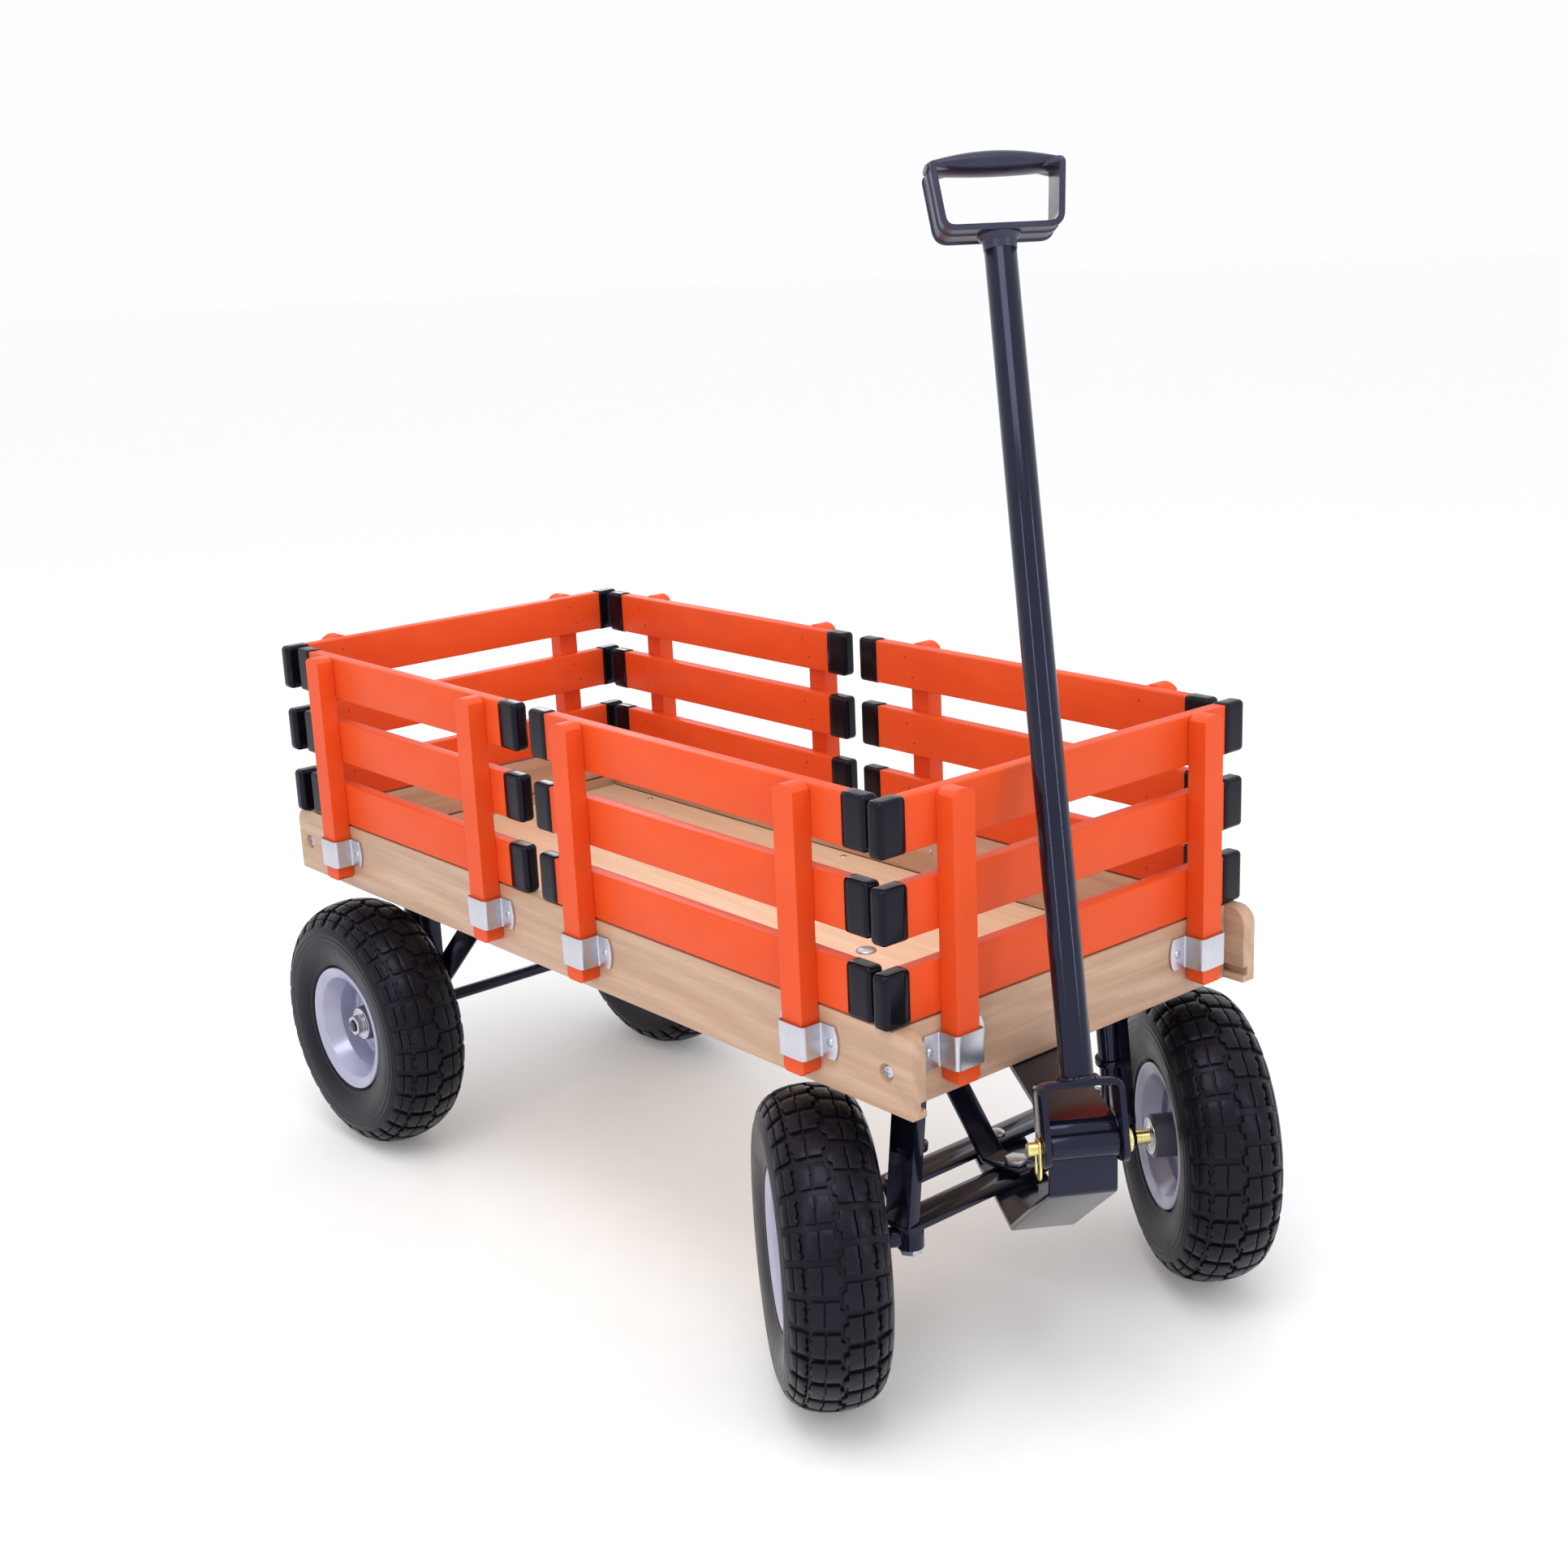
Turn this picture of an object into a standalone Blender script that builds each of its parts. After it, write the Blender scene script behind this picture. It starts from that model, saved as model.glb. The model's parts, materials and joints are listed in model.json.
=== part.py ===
"""Pull wagon with six lift-out slatted gates, steered front wheels and a tall pull handle.

Units are metres. +X points forward, to the handle end, +Y to the wagon's left and +Z up.
The ground is z = 0. Pieces of one moving body are modelled in that body's own frame, an
empty on the joint axis, and every empty hangs on the root empty.
"""
from math import cos, pi, radians, sin

import bmesh
import bpy
from mathutils import Matrix, Vector

# ---------------------------------------------------------------- driving dimensions
GAP = 0.0003                 # air left between two pieces that touch
RUNNING = 0.0003             # radial clearance of a piece that turns on a shaft

ROOT_X = -0.0425             # moves the model so that its box is centred on the origin
ROOT_Y = 0.0

# wooden bed
BED_LENGTH = 0.9396
BED_WIDTH = 0.4091
BOARD_BOTTOM = 0.2853
BOARD_TOP = 0.3516
BOARD_THICKNESS = 0.0151
BOARD_CORNER = 0.015
FRONT_FACE_X = 0.4495        # outer face of the front board
REAR_FACE_X = -0.4560        # outer face of the rear board
DECK_BOTTOM = 0.2915
DECK_TOP = 0.2985
DECK_GROOVE_DEPTH = 0.006
DECK_TONGUE_DROP = 0.002     # the deck's edges are thinned from above to sit in the grooves
SHADOW_GROOVE_Z = 0.3095
SHADOW_GROOVE_WIDTH = 0.0026
SHADOW_GROOVE_DEPTH = 0.005
SHADOW_GROOVE_STOP = 0.012   # short of the board's ends
COUNTERBORE_RADIUS = 0.0075
COUNTERBORE_DEPTH = 0.004
COUNTERBORE_Z = 0.3168

# gates
RAIL_THICKNESS = 0.0135
RAIL_HEIGHT = 0.0423
RAIL_PITCH = 0.0663
RAIL_COUNT = 3
RAIL_LIFT = 0.0016           # bottom rail above the board
CAP_LENGTH = 0.0262
CAP_PROUD = 0.0010
CAP_ROUND = 0.005
CAP_WALL = 0.006             # closed end of a cap, beyond the rail
STAKE_WIDTH = 0.0235
STAKE_THICKNESS = 0.018
STAKE_BOTTOM = 0.2970
STAKE_TOP = 0.5295
STAKE_CHAMFER = 0.003
SIDE_GATE_LENGTHS = {"rear": 0.4040, "front": 0.4375}
SIDE_GATE_CENTRES = {"rear": -0.2310, "front": 0.21025}
SIDE_STAKES = {"rear": (-0.369, -0.089), "front": (0.064, 0.357)}
END_GATE_LENGTH = 0.423
END_STAKES = (-0.1425, 0.1485)

# strap brackets that hold the stakes
STRAP_WALL = 0.002
STRAP_HEIGHT = 0.028
STRAP_BOTTOM = 0.311
STRAP_SIDE_ROOM = 0.0016
STRAP_FRONT_ROOM = 0.0010
STRAP_FLANGE = 0.0185

# wheels
TYRE_RADIUS = 0.131
TYRE_HALF_WIDTH = 0.0425
TYRE_WALL = 0.006
RIM_RADIUS = 0.0657
RIM_HALF_WIDTH = 0.036
AXLE_RADIUS = 0.00635
HUB_INNER = -0.041           # along the axle, measured outward from the wheel's centre
HUB_OUTER = 0.018
TYRE_SEGMENTS = 28
RIM_SEGMENTS = 20
REAR_AXLE_X = -0.3726
REAR_WHEEL_Y = 0.1897

# steering
KINGPIN_X = 0.3795
KINGPIN_Y = 0.1257
KINGPIN_TO_WHEEL = 0.0753
HEADING = radians(-33.0)     # front wheels and tongue turned to the right at rest
ARM_LENGTH = 0.0715
KINGPIN_RADIUS = 0.005
BOLT_RADIUS = 0.004
PIVOT_RADIUS = 0.005
PLATE_BOTTOM = 0.1413
PLATE_TOP = 0.1463
PLATE_HALF_WIDTH = 0.015
KNUCKLE_BOTTOM = 0.1216
KNUCKLE_TOP = PLATE_BOTTOM - 0.0005
KNUCKLE_RADIUS = 0.0115
ARM_THICKNESS = 0.005
ARM_HALF_WIDTH = 0.0105
SLEEVE_RADIUS = 0.0095
SLEEVE_WELD = 0.0005         # sleeve's overlap with the channel's web
CHANNEL_WALL = 0.003
FRONT_CHANNEL_HALF_WIDTH = 0.0138
FRONT_CHANNEL_DEPTH = 0.0115
HANGER_FOOT_FACE = 0.0145    # web's face at the foot, outboard of the kingpin's axis
HANGER_SPLAY = radians(6.6)  # the hangers' feet stand further apart than their heads
HANGER_TRIM = 0.006          # extra length that is cut level at head and foot
REAR_CHANNEL_HALF_WIDTH = 0.016
REAR_CHANNEL_DEPTH = 0.025
PLATE_CHAMFER = 0.003
BOLSTER_THICKNESS = 0.0055
BOLSTER_HALF_LENGTH = 0.034
BOLSTER_HALF_WIDTH = 0.165
BOLSTER_CORNER = 0.008
COLLAR_BOTTOM = 0.2085       # ring round the kingpin's sleeve
COLLAR_HEIGHT = 0.006
COLLAR_PROUD = 0.0035
SLEEVE_BORE_TOP = 0.163
KINGPIN_TOP = 0.162
FRONT_BRACE_TIP = 0.396      # stations of the front brace, forward along the bed
FRONT_BRACE_BEND = 0.3528
FRONT_BRACE_LANDING = 0.2423
FRONT_BRACE_REAR = 0.1870
FRONT_BRACE_HALF_WIDTH = 0.0125
BOSS_RADIUS = 0.0088
BOSS_REACH = 0.0195
TIE_ROD_HALF_WIDTH = 0.0145
HEX_SMALL = 0.017            # across flats
HEX_LARGE = 0.019
HEAD_HEIGHT = 0.0055
NUT_HEIGHT = 0.0075

# tongue and handle
TONGUE_WIDTH = 0.052
STRIP = 0.005
PIN_REACH = 0.212            # hitch pin ahead of the steering axis
PIN_HEIGHT = 0.267
PIN_TUBE_RADIUS = 0.0105
NOSE_WALL = 0.002            # nose of the strip ahead of the hitch pin's axis
TONGUE_CHIN = 0.230          # height where the nose folds back under
TONGUE_TOE = 0.088           # where the sloping face meets the bottom plate
BOTTOM_PLATE_REAR = -0.090
TOP_PLATE_REAR = -0.030
PLATE_CORNER = 0.012
HANDLE_LEAN = radians(19.1)  # handle leans back over the bed at rest
YOKE_INNER = 0.0270
YOKE_OUTER = 0.0320
YOKE_TOP = 0.048
YOKE_FOOT = -0.015
YOKE_HALF_DEPTH = 0.015
YOKE_CORNER = 0.010
FOOT_CHAMFER = 0.009
WELD_HEIGHT = 0.005
TUBE_RADIUS = 0.0125
TUBE_BORE = 0.0110
TUBE_END = 0.6857
GRIP_HALF_WIDTH = 0.053
GRIP_HALF_DEPTH = 0.018
GRIP_BAND = 0.005
GRIP_TOP = 0.7425            # centre of the hand bar
GRIP_BAR_RADIUS = 0.010
GRIP_BAR_END_RADIUS = 0.0065
GRIP_CORNER = 0.014
GRIP_TAPER = 0.006           # each side narrows by this much towards the tube
GRIP_CROWN = 0.006           # top of the loop above the hand bar's centre
GRIP_SHELF = 0.008           # underside of the loop's top below the same centre

# rear suspension
HANGER_BOTTOM = 0.112
REAR_HANGER_FACE = 0.1345
BRACE_PLANE = 0.118
BRACE_WALL = 0.003
BRACE_FLANGE = 0.012
BRACE_FOOT = 0.140
BRACE_DEPTH = 0.038
BRACE_LIP = 0.0042


# ---------------------------------------------------------------- scene and materials
def clear_scene():
    for item in list(bpy.data.objects):
        bpy.data.objects.remove(item, do_unlink=True)


def make_material(name, colour, roughness, metallic=0.0):
    material = bpy.data.materials.new(name)
    material.use_nodes = True
    shader = material.node_tree.nodes["Principled BSDF"]
    shader.inputs["Base Color"].default_value = (*colour, 1.0)
    shader.inputs["Roughness"].default_value = roughness
    shader.inputs["Metallic"].default_value = metallic
    return material


clear_scene()

BEECH = make_material("beech", (0.62, 0.42, 0.26), 0.45)
DECK_WOOD = make_material("deck_wood", (0.80, 0.66, 0.48), 0.5)
ORANGE_PAINT = make_material("orange_paint", (0.85, 0.13, 0.02), 0.35)
BLACK_STEEL = make_material("black_steel", (0.012, 0.012, 0.014), 0.25)
BLACK_PLASTIC = make_material("black_plastic", (0.02, 0.02, 0.022), 0.3)
ZINC = make_material("zinc", (0.75, 0.76, 0.78), 0.25, 1.0)
YELLOW_ZINC = make_material("yellow_zinc", (0.78, 0.66, 0.30), 0.3, 1.0)
RUBBER = make_material("rubber", (0.03, 0.03, 0.032), 0.7)
RIM_PAINT = make_material("rim_paint", (0.55, 0.57, 0.62), 0.35)


# ---------------------------------------------------------------- modelling helpers
def empty(name, parent=None, location=(0, 0, 0), turn_y=0.0, turn_z=0.0):
    """A frame: turned about its own Y, then about its parent's Z, then moved."""
    frame = bpy.data.objects.new(name, None)
    frame.parent = parent
    frame.matrix_local = (Matrix.Translation(location) @ Matrix.Rotation(turn_z, 4, "Z")
                          @ Matrix.Rotation(turn_y, 4, "Y"))
    bpy.context.collection.objects.link(frame)
    return frame


def from_bmesh(shape, name="piece"):
    bmesh.ops.recalc_face_normals(shape, faces=shape.faces)
    mesh = bpy.data.meshes.new(name)
    shape.to_mesh(mesh)
    shape.free()
    piece = bpy.data.objects.new(name, mesh)
    bpy.context.collection.objects.link(piece)
    return piece


def block(low, high, bevel=0.0, bevel_axis=None, segments=2):
    """A box between two corners, its edges rounded, or only those along one axis."""
    shape = bmesh.new()
    bmesh.ops.create_cube(shape, size=1.0)
    low = Vector(low)
    size = Vector(high) - low
    for vert in shape.verts:
        vert.co = Vector((low[i] + (vert.co[i] + 0.5) * size[i] for i in range(3)))
    if bevel:
        edges = list(shape.edges)
        if bevel_axis is not None:
            edges = [e for e in edges
                     if abs((e.verts[0].co - e.verts[1].co)[bevel_axis]) > 1e-6]
        bmesh.ops.bevel(shape, geom=edges, offset=bevel, segments=segments, profile=0.5,
                        affect="EDGES")
    return from_bmesh(shape)


def prism(outline, axis, start, end):
    """Extrude a closed outline along an axis; its points are in the other two axes' order."""
    shape = bmesh.new()
    others = [i for i in range(3) if i != axis]
    verts = []
    for point in outline:
        corner = [0.0, 0.0, 0.0]
        corner[axis] = start
        corner[others[0]] = point[0]
        corner[others[1]] = point[1]
        verts.append(shape.verts.new(corner))
    face = shape.faces.new(verts)
    result = bmesh.ops.extrude_face_region(shape, geom=[face])
    travel = Vector((0.0, 0.0, 0.0))
    travel[axis] = end - start
    moved = [item for item in result["geom"] if isinstance(item, bmesh.types.BMVert)]
    bmesh.ops.translate(shape, vec=travel, verts=moved)
    return from_bmesh(shape)


def turned(profile, axis, segments, phase=0.0):
    """Spin a closed profile of (along, radius) points about a main axis."""
    shape = bmesh.new()
    across = Vector((0.0, 0.0, 0.0))
    across[(axis + 1) % 3] = cos(phase)
    across[(axis + 2) % 3] = sin(phase)
    along = Vector((0.0, 0.0, 0.0))
    along[axis] = 1.0
    verts = [shape.verts.new(along * s + across * r) for s, r in profile]
    edges = [shape.edges.new((verts[i], verts[(i + 1) % len(verts)]))
             for i in range(len(verts))]
    bmesh.ops.spin(shape, geom=verts + edges, cent=(0, 0, 0), axis=along,
                   angle=2 * pi, steps=segments, use_duplicate=False)
    bmesh.ops.remove_doubles(shape, verts=shape.verts, dist=1e-6)
    return from_bmesh(shape)


def rod(start, end, radius, segments=16):
    """A solid round bar between two points."""
    start = Vector(start)
    end = Vector(end)
    shape = bmesh.new()
    length = (end - start).length
    bmesh.ops.create_cone(shape, cap_ends=True, segments=segments, radius1=radius,
                          radius2=radius, depth=length)
    turn = (end - start).to_track_quat("Z", "Y").to_matrix().to_4x4()
    bmesh.ops.transform(shape, matrix=Matrix.Translation((start + end) / 2) @ turn,
                        verts=shape.verts)
    return from_bmesh(shape)


def combine(piece, tools, operation):
    """Join tools to a piece or cut them out of it, with the exact solver."""
    for tool in tools:
        modifier = piece.modifiers.new("combine", "BOOLEAN")
        modifier.operation = operation
        modifier.solver = "EXACT"
        modifier.object = tool
        graph = bpy.context.evaluated_depsgraph_get()
        mesh = bpy.data.meshes.new_from_object(piece.evaluated_get(graph))
        piece.modifiers.clear()
        piece.data = mesh
        bpy.data.objects.remove(tool, do_unlink=True)
    return piece


def fuse(piece, *tools):
    return combine(piece, tools, "UNION")


def cut(piece, *tools):
    return combine(piece, tools, "DIFFERENCE")


def finish(piece, name, material, parent, smooth_angle=35.0):
    """Name a piece, give it its material and hang it in its frame."""
    piece.name = name
    piece.data.name = name
    piece.data.materials.clear()
    piece.data.materials.append(material)
    piece.data.shade_smooth()
    piece.data.set_sharp_from_angle(angle=radians(smooth_angle))
    piece.parent = parent
    return piece


def arc(centre, radius, start, end, steps):
    """Points on a circle from one angle to another, in degrees."""
    points = []
    for i in range(steps + 1):
        angle = radians(start + (end - start) * i / steps)
        points.append((centre[0] + radius * cos(angle), centre[1] + radius * sin(angle)))
    return points


def rounded_bar(start, end, half_width, steps=6):
    """Outline of a bar along the first axis with two round ends."""
    return (arc((end, 0), half_width, -90, 90, steps)
            + arc((start, 0), half_width, 90, 270, steps))


def hexagon(centre, across_flats):
    radius = across_flats / 2 / cos(pi / 6)
    return [(centre[0] + radius * cos(pi / 6 + k * pi / 3),
             centre[1] + radius * sin(pi / 6 + k * pi / 3)) for k in range(6)]


# ---------------------------------------------------------------- frames
root = empty("root", location=(ROOT_X, ROOT_Y, 0))
steer_frame = empty("steer_frame", root, (KINGPIN_X, 0, 0), turn_z=HEADING)
tie_rod_frame = empty("tie_rod_frame", steer_frame, (-ARM_LENGTH, 0, 0), turn_z=-HEADING)
handle_frame = empty("handle_frame", steer_frame, (PIN_REACH, 0, PIN_HEIGHT),
                     turn_y=-HANDLE_LEAN)
SIDES = {"right": -1.0, "left": 1.0}
knuckle_frames = {}
wheel_frames = {}
for side, sign in SIDES.items():
    knuckle_frames[side] = empty("knuckle_frame_" + side, root,
                                 (KINGPIN_X, sign * KINGPIN_Y, 0), turn_z=HEADING)
    wheel_frames["front_" + side] = empty("wheel_frame_front_" + side, knuckle_frames[side],
                                          (0, sign * KINGPIN_TO_WHEEL, TYRE_RADIUS))
    wheel_frames["rear_" + side] = empty("wheel_frame_rear_" + side, root,
                                         (REAR_AXLE_X, sign * REAR_WHEEL_Y, TYRE_RADIUS))


# ---------------------------------------------------------------- wooden bed
def side_board(side):
    sign = SIDES[side]
    half = BED_LENGTH / 2
    outer = BED_WIDTH / 2
    inner = outer - BOARD_THICKNESS
    top = BOARD_TOP - BOARD_CORNER
    outline = [(-half, BOARD_BOTTOM), (half, BOARD_BOTTOM)]
    outline += arc((half - BOARD_CORNER, top), BOARD_CORNER, 0, 90, 5)
    outline += arc((-half + BOARD_CORNER, top), BOARD_CORNER, 90, 180, 5)
    board = prism(outline, 1, sign * inner, sign * outer)
    groove_y = sorted((sign * (inner - 0.002), sign * (inner + DECK_GROOVE_DEPTH)))
    groove = block((-half - 0.01, groove_y[0], DECK_BOTTOM - GAP),
                   (half + 0.01, groove_y[1], DECK_TOP + GAP))
    screws = []
    for board_face, inward in ((FRONT_FACE_X, -1), (REAR_FACE_X, 1)):
        x = board_face + inward * BOARD_THICKNESS / 2
        screws.append(rod((x, sign * (outer - COUNTERBORE_DEPTH), COUNTERBORE_Z),
                          (x, sign * (outer + 0.003), COUNTERBORE_Z),
                          COUNTERBORE_RADIUS, 14))
    cut(board, groove, *screws)
    finish(board, "side_board_" + side, BEECH, root)


def end_board(name, outer_x, inward, shadow_groove):
    """A board across the bed; inward is -1 at the front and +1 at the rear."""
    half = BED_WIDTH / 2 - BOARD_THICKNESS - GAP
    inner_x = outer_x + inward * BOARD_THICKNESS
    low, high = sorted((outer_x, inner_x))
    board = block((low, -half, BOARD_BOTTOM), (high, half, BOARD_TOP))
    if shadow_groove:
        depth_x = sorted((inner_x + inward * 0.002, inner_x - inward * SHADOW_GROOVE_DEPTH))
        reach = half - SHADOW_GROOVE_STOP
        cut(board, block((depth_x[0], -reach, SHADOW_GROOVE_Z),
                         (depth_x[1], reach, SHADOW_GROOVE_Z + SHADOW_GROOVE_WIDTH)))
    finish(board, name, BEECH, root)


def deck():
    """Panel between the boards, with a thinner tongue along each side board's groove."""
    inner = BED_WIDTH / 2 - BOARD_THICKNESS - GAP
    rear = REAR_FACE_X + BOARD_THICKNESS + GAP
    front = FRONT_FACE_X - BOARD_THICKNESS - GAP
    tongue_y = inner + DECK_GROOVE_DEPTH
    panel = block((rear, -inner, DECK_BOTTOM), (front, inner, DECK_TOP))
    fuse(panel, block((rear, -tongue_y, DECK_BOTTOM),
                      (front, tongue_y, DECK_TOP - DECK_TONGUE_DROP)))
    finish(panel, "deck", DECK_WOOD, root)


# ---------------------------------------------------------------- gates and their brackets
def stake(x):
    """A stake outside the rails, its foot chamfered and its top rounded over."""
    half = STAKE_WIDTH / 2
    c = STAKE_CHAMFER
    outline = [(x - half + c, STAKE_BOTTOM), (x + half - c, STAKE_BOTTOM),
               (x + half, STAKE_BOTTOM + c)]
    crown = half / sin(radians(50))
    outline += arc((x, STAKE_TOP - crown), crown, 40, 140, 6)
    outline += [(x - half, STAKE_BOTTOM + c)]
    return prism(outline, 1, -GAP - STAKE_THICKNESS, -GAP)


def gate(name, length, stakes, frame):
    """Three capped rails across two stakes; -Y of the gate's frame faces outward."""
    half = length / 2
    front = -GAP - 0.0003
    pieces = []
    for k in range(RAIL_COUNT):
        low = BOARD_TOP + RAIL_LIFT + k * RAIL_PITCH
        pieces.append(block((-half + CAP_WALL, front, low),
                            (half - CAP_WALL, front + RAIL_THICKNESS, low + RAIL_HEIGHT)))
        for end in (-1, 1):
            span = sorted((end * half, end * (half - CAP_LENGTH)))
            pieces.append(block(
                (span[0], front - CAP_PROUD, low - CAP_PROUD),
                (span[1], front + RAIL_THICKNESS + CAP_PROUD, low + RAIL_HEIGHT + CAP_PROUD),
                CAP_ROUND, 1, 1))
    pieces += [stake(x) for x in stakes]
    body = pieces[0]
    fuse(body, *pieces[1:])
    finish(body, name, ORANGE_PAINT, frame)


def strap(name, x, frame):
    """Hat-shaped strap round a stake, flanges flat on the board."""
    inner = STAKE_WIDTH / 2 + STRAP_SIDE_ROOM
    outer = inner + STRAP_WALL
    tip = outer + STRAP_FLANGE
    reach = GAP + STAKE_THICKNESS + STRAP_FRONT_ROOM
    outline = [(x - tip, -GAP), (x - tip, -GAP - STRAP_WALL), (x - outer, -GAP - STRAP_WALL),
               (x - outer, -reach - STRAP_WALL), (x + outer, -reach - STRAP_WALL),
               (x + outer, -GAP - STRAP_WALL), (x + tip, -GAP - STRAP_WALL), (x + tip, -GAP),
               (x + inner, -GAP), (x + inner, -reach), (x - inner, -reach), (x - inner, -GAP)]
    bracket = prism(outline, 2, STRAP_BOTTOM, STRAP_BOTTOM + STRAP_HEIGHT)
    finish(bracket, name, ZINC, frame)


def side_gates(side):
    """The frame's -Y faces outward, so the left side's frame is turned half round."""
    sign = SIDES[side]
    for place, centre in SIDE_GATE_CENTRES.items():
        name = place + "_" + side
        frame = empty("gate_frame_" + name, root, (centre, sign * BED_WIDTH / 2, 0),
                      turn_z=pi if side == "left" else 0.0)
        stakes = [-sign * (x - centre) for x in SIDE_STAKES[place]]
        gate("gate_" + name, SIDE_GATE_LENGTHS[place], stakes, frame)
        for number, x in enumerate(stakes, 1):
            strap("strap_{}_{}".format(name, number), x, frame)


def end_gate(place, face_x, turn):
    frame = empty("gate_frame_" + place, root, (face_x, 0, 0), turn_z=turn)
    stakes = [sin(turn) * y for y in END_STAKES]
    gate("gate_" + place, END_GATE_LENGTH, stakes, frame)
    for number, x in enumerate(stakes, 1):
        strap("strap_{}_{}".format(place, number), x, frame)


# ---------------------------------------------------------------- wheels
def tyre(name, frame):
    """An open casing: tread and sidewalls outside, air space inside, beads at the rim.

    A flat between two segments touches the ground, so its corners stand a little further out.
    """
    w = TYRE_HALF_WIDTH
    t = TYRE_WALL
    bead = RIM_RADIUS + 0.0006
    seat = RIM_HALF_WIDTH - 0.0055
    half_step = pi / TYRE_SEGMENTS
    tread = TYRE_RADIUS / cos(half_step)
    outer = [(seat, 0.0588), (seat, bead), (w, 0.092), (w - 0.0015, 0.112),
             (w - 0.010, tread - 0.0045), (w - 0.022, tread)]
    inner = [(seat - 0.006, 0.0588), (w - t, 0.092), (w - t - 0.005, 0.114),
             (w - 0.022, tread - t - 0.004)]
    profile = (outer + [(-s, r) for s, r in reversed(outer)]
               + [(-s, r) for s, r in inner] + [(s, r) for s, r in reversed(inner)])
    casing = turned(profile, 1, TYRE_SEGMENTS, half_step)
    finish(casing, name, RUBBER, frame)


def rim(name, frame, sign):
    """Drop-centre rim, dished disc and hub tube; sign points to the wagon's outside."""
    w = RIM_HALF_WIDTH
    bore = AXLE_RADIUS + RUNNING
    profile = [(w, 0.0627), (w, RIM_RADIUS), (w - 0.0045, RIM_RADIUS), (w - 0.0055, 0.058),
               (0.017, 0.056), (0.013, 0.0485), (-0.013, 0.0485), (-0.017, 0.056),
               (-w + 0.0055, 0.058), (-w + 0.0045, RIM_RADIUS), (-w, RIM_RADIUS),
               (-w, 0.0627), (-w + 0.0035, 0.0545), (-0.0155, 0.0455), (-0.008, 0.0455),
               (-0.008, 0.0195), (HUB_INNER, 0.0195), (HUB_INNER, bore),
               (HUB_OUTER, bore), (HUB_OUTER, 0.0165), (-0.005, 0.0205), (-0.005, 0.0455),
               (0.0155, 0.0455), (w - 0.0035, 0.0545)]
    body = turned([(sign * s, r) for s, r in profile], 1, RIM_SEGMENTS)
    finish(body, name, RIM_PAINT, frame)


def wheels():
    for place, frame in wheel_frames.items():
        sign = SIDES[place.split("_")[1]]
        tyre("tyre_" + place, frame)
        rim("rim_" + place, frame, sign)


# ---------------------------------------------------------------- front axle
def channel(face_y, sign, low, high, half_width, depth):
    """Upright U-channel, its web outward and its flanges inward, centred on x = 0."""
    w = half_width
    t = CHANNEL_WALL
    edge = face_y - sign * depth
    web = face_y - sign * t
    outline = [(-w, edge), (-w, face_y), (w, face_y), (w, edge),
               (w - t, edge), (w - t, web), (-w + t, web), (-w + t, edge)]
    return prism(outline, 2, low, high)


def front_hanger(side):
    """Splayed channel from bolster to axle plate, the kingpin's sleeve welded in its mouth."""
    sign = SIDES[side]
    low = PLATE_TOP + GAP
    high = DECK_BOTTOM - BOLSTER_THICKNESS - 2 * GAP
    foot = -HANGER_TRIM
    head = high - low + HANGER_TRIM
    body = channel(0.0, sign, foot, head, FRONT_CHANNEL_HALF_WIDTH, FRONT_CHANNEL_DEPTH)
    y = -sign * (CHANNEL_WALL + SLEEVE_RADIUS - SLEEVE_WELD)
    ring = COLLAR_BOTTOM - low
    fuse(body, rod((0, y, foot), (0, y, head), SLEEVE_RADIUS, 16))
    fuse(body, rod((0, y, ring), (0, y, ring + COLLAR_HEIGHT), SLEEVE_RADIUS + COLLAR_PROUD, 16))
    body.data.transform(Matrix.Translation((0, sign * HANGER_FOOT_FACE, low))
                        @ Matrix.Rotation(sign * HANGER_SPLAY, 4, "X"))
    reach = 0.06
    cut(body, block((-reach, -reach, low - reach), (reach, reach, low)),
        block((-reach, -reach, high), (reach, reach, high + reach)),
        rod((0, 0, low - 0.01), (0, 0, SLEEVE_BORE_TOP), KINGPIN_RADIUS + RUNNING, 12))
    finish(body, "front_hanger_" + side, BLACK_STEEL,
           empty("front_hanger_frame_" + side, root, (KINGPIN_X, sign * KINGPIN_Y, 0)))


def front_axle_plate():
    """Flat strap that ties the feet of both hangers and carries the centre pivot."""
    end = KINGPIN_Y + HANGER_FOOT_FACE
    half = PLATE_HALF_WIDTH
    c = PLATE_CHAMFER
    outline = [(half, -end + c), (half, end - c), (half - c, end), (-half + c, end),
               (-half, end - c), (-half, -end + c), (-half + c, -end), (half - c, -end)]
    plate = prism(outline, 2, PLATE_BOTTOM, PLATE_TOP)
    holes = [rod((0, y, PLATE_BOTTOM - 0.01), (0, y, PLATE_TOP + 0.01), r, 16)
             for y, r in ((-KINGPIN_Y, KINGPIN_RADIUS + RUNNING), (0, PIVOT_RADIUS + GAP),
                          (KINGPIN_Y, KINGPIN_RADIUS + RUNNING))]
    cut(plate, *holes)
    finish(plate, "front_axle_plate", BLACK_STEEL,
           empty("front_axle_frame", root, (KINGPIN_X, 0, 0)))


def front_bolster():
    """Cross plate under the deck that the hangers and the tongue's upper pivot hang on."""
    low = DECK_BOTTOM - GAP - BOLSTER_THICKNESS
    plate = block((KINGPIN_X - BOLSTER_HALF_LENGTH, -BOLSTER_HALF_WIDTH, low),
                  (KINGPIN_X + BOLSTER_HALF_LENGTH, BOLSTER_HALF_WIDTH, DECK_BOTTOM - GAP),
                  BOLSTER_CORNER, 2)
    hole = rod((KINGPIN_X, 0, low - 0.01), (KINGPIN_X, 0, low + 0.0045), PIVOT_RADIUS + GAP, 12)
    cut(plate, hole)
    finish(plate, "front_bolster", BLACK_STEEL, root)


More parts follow.
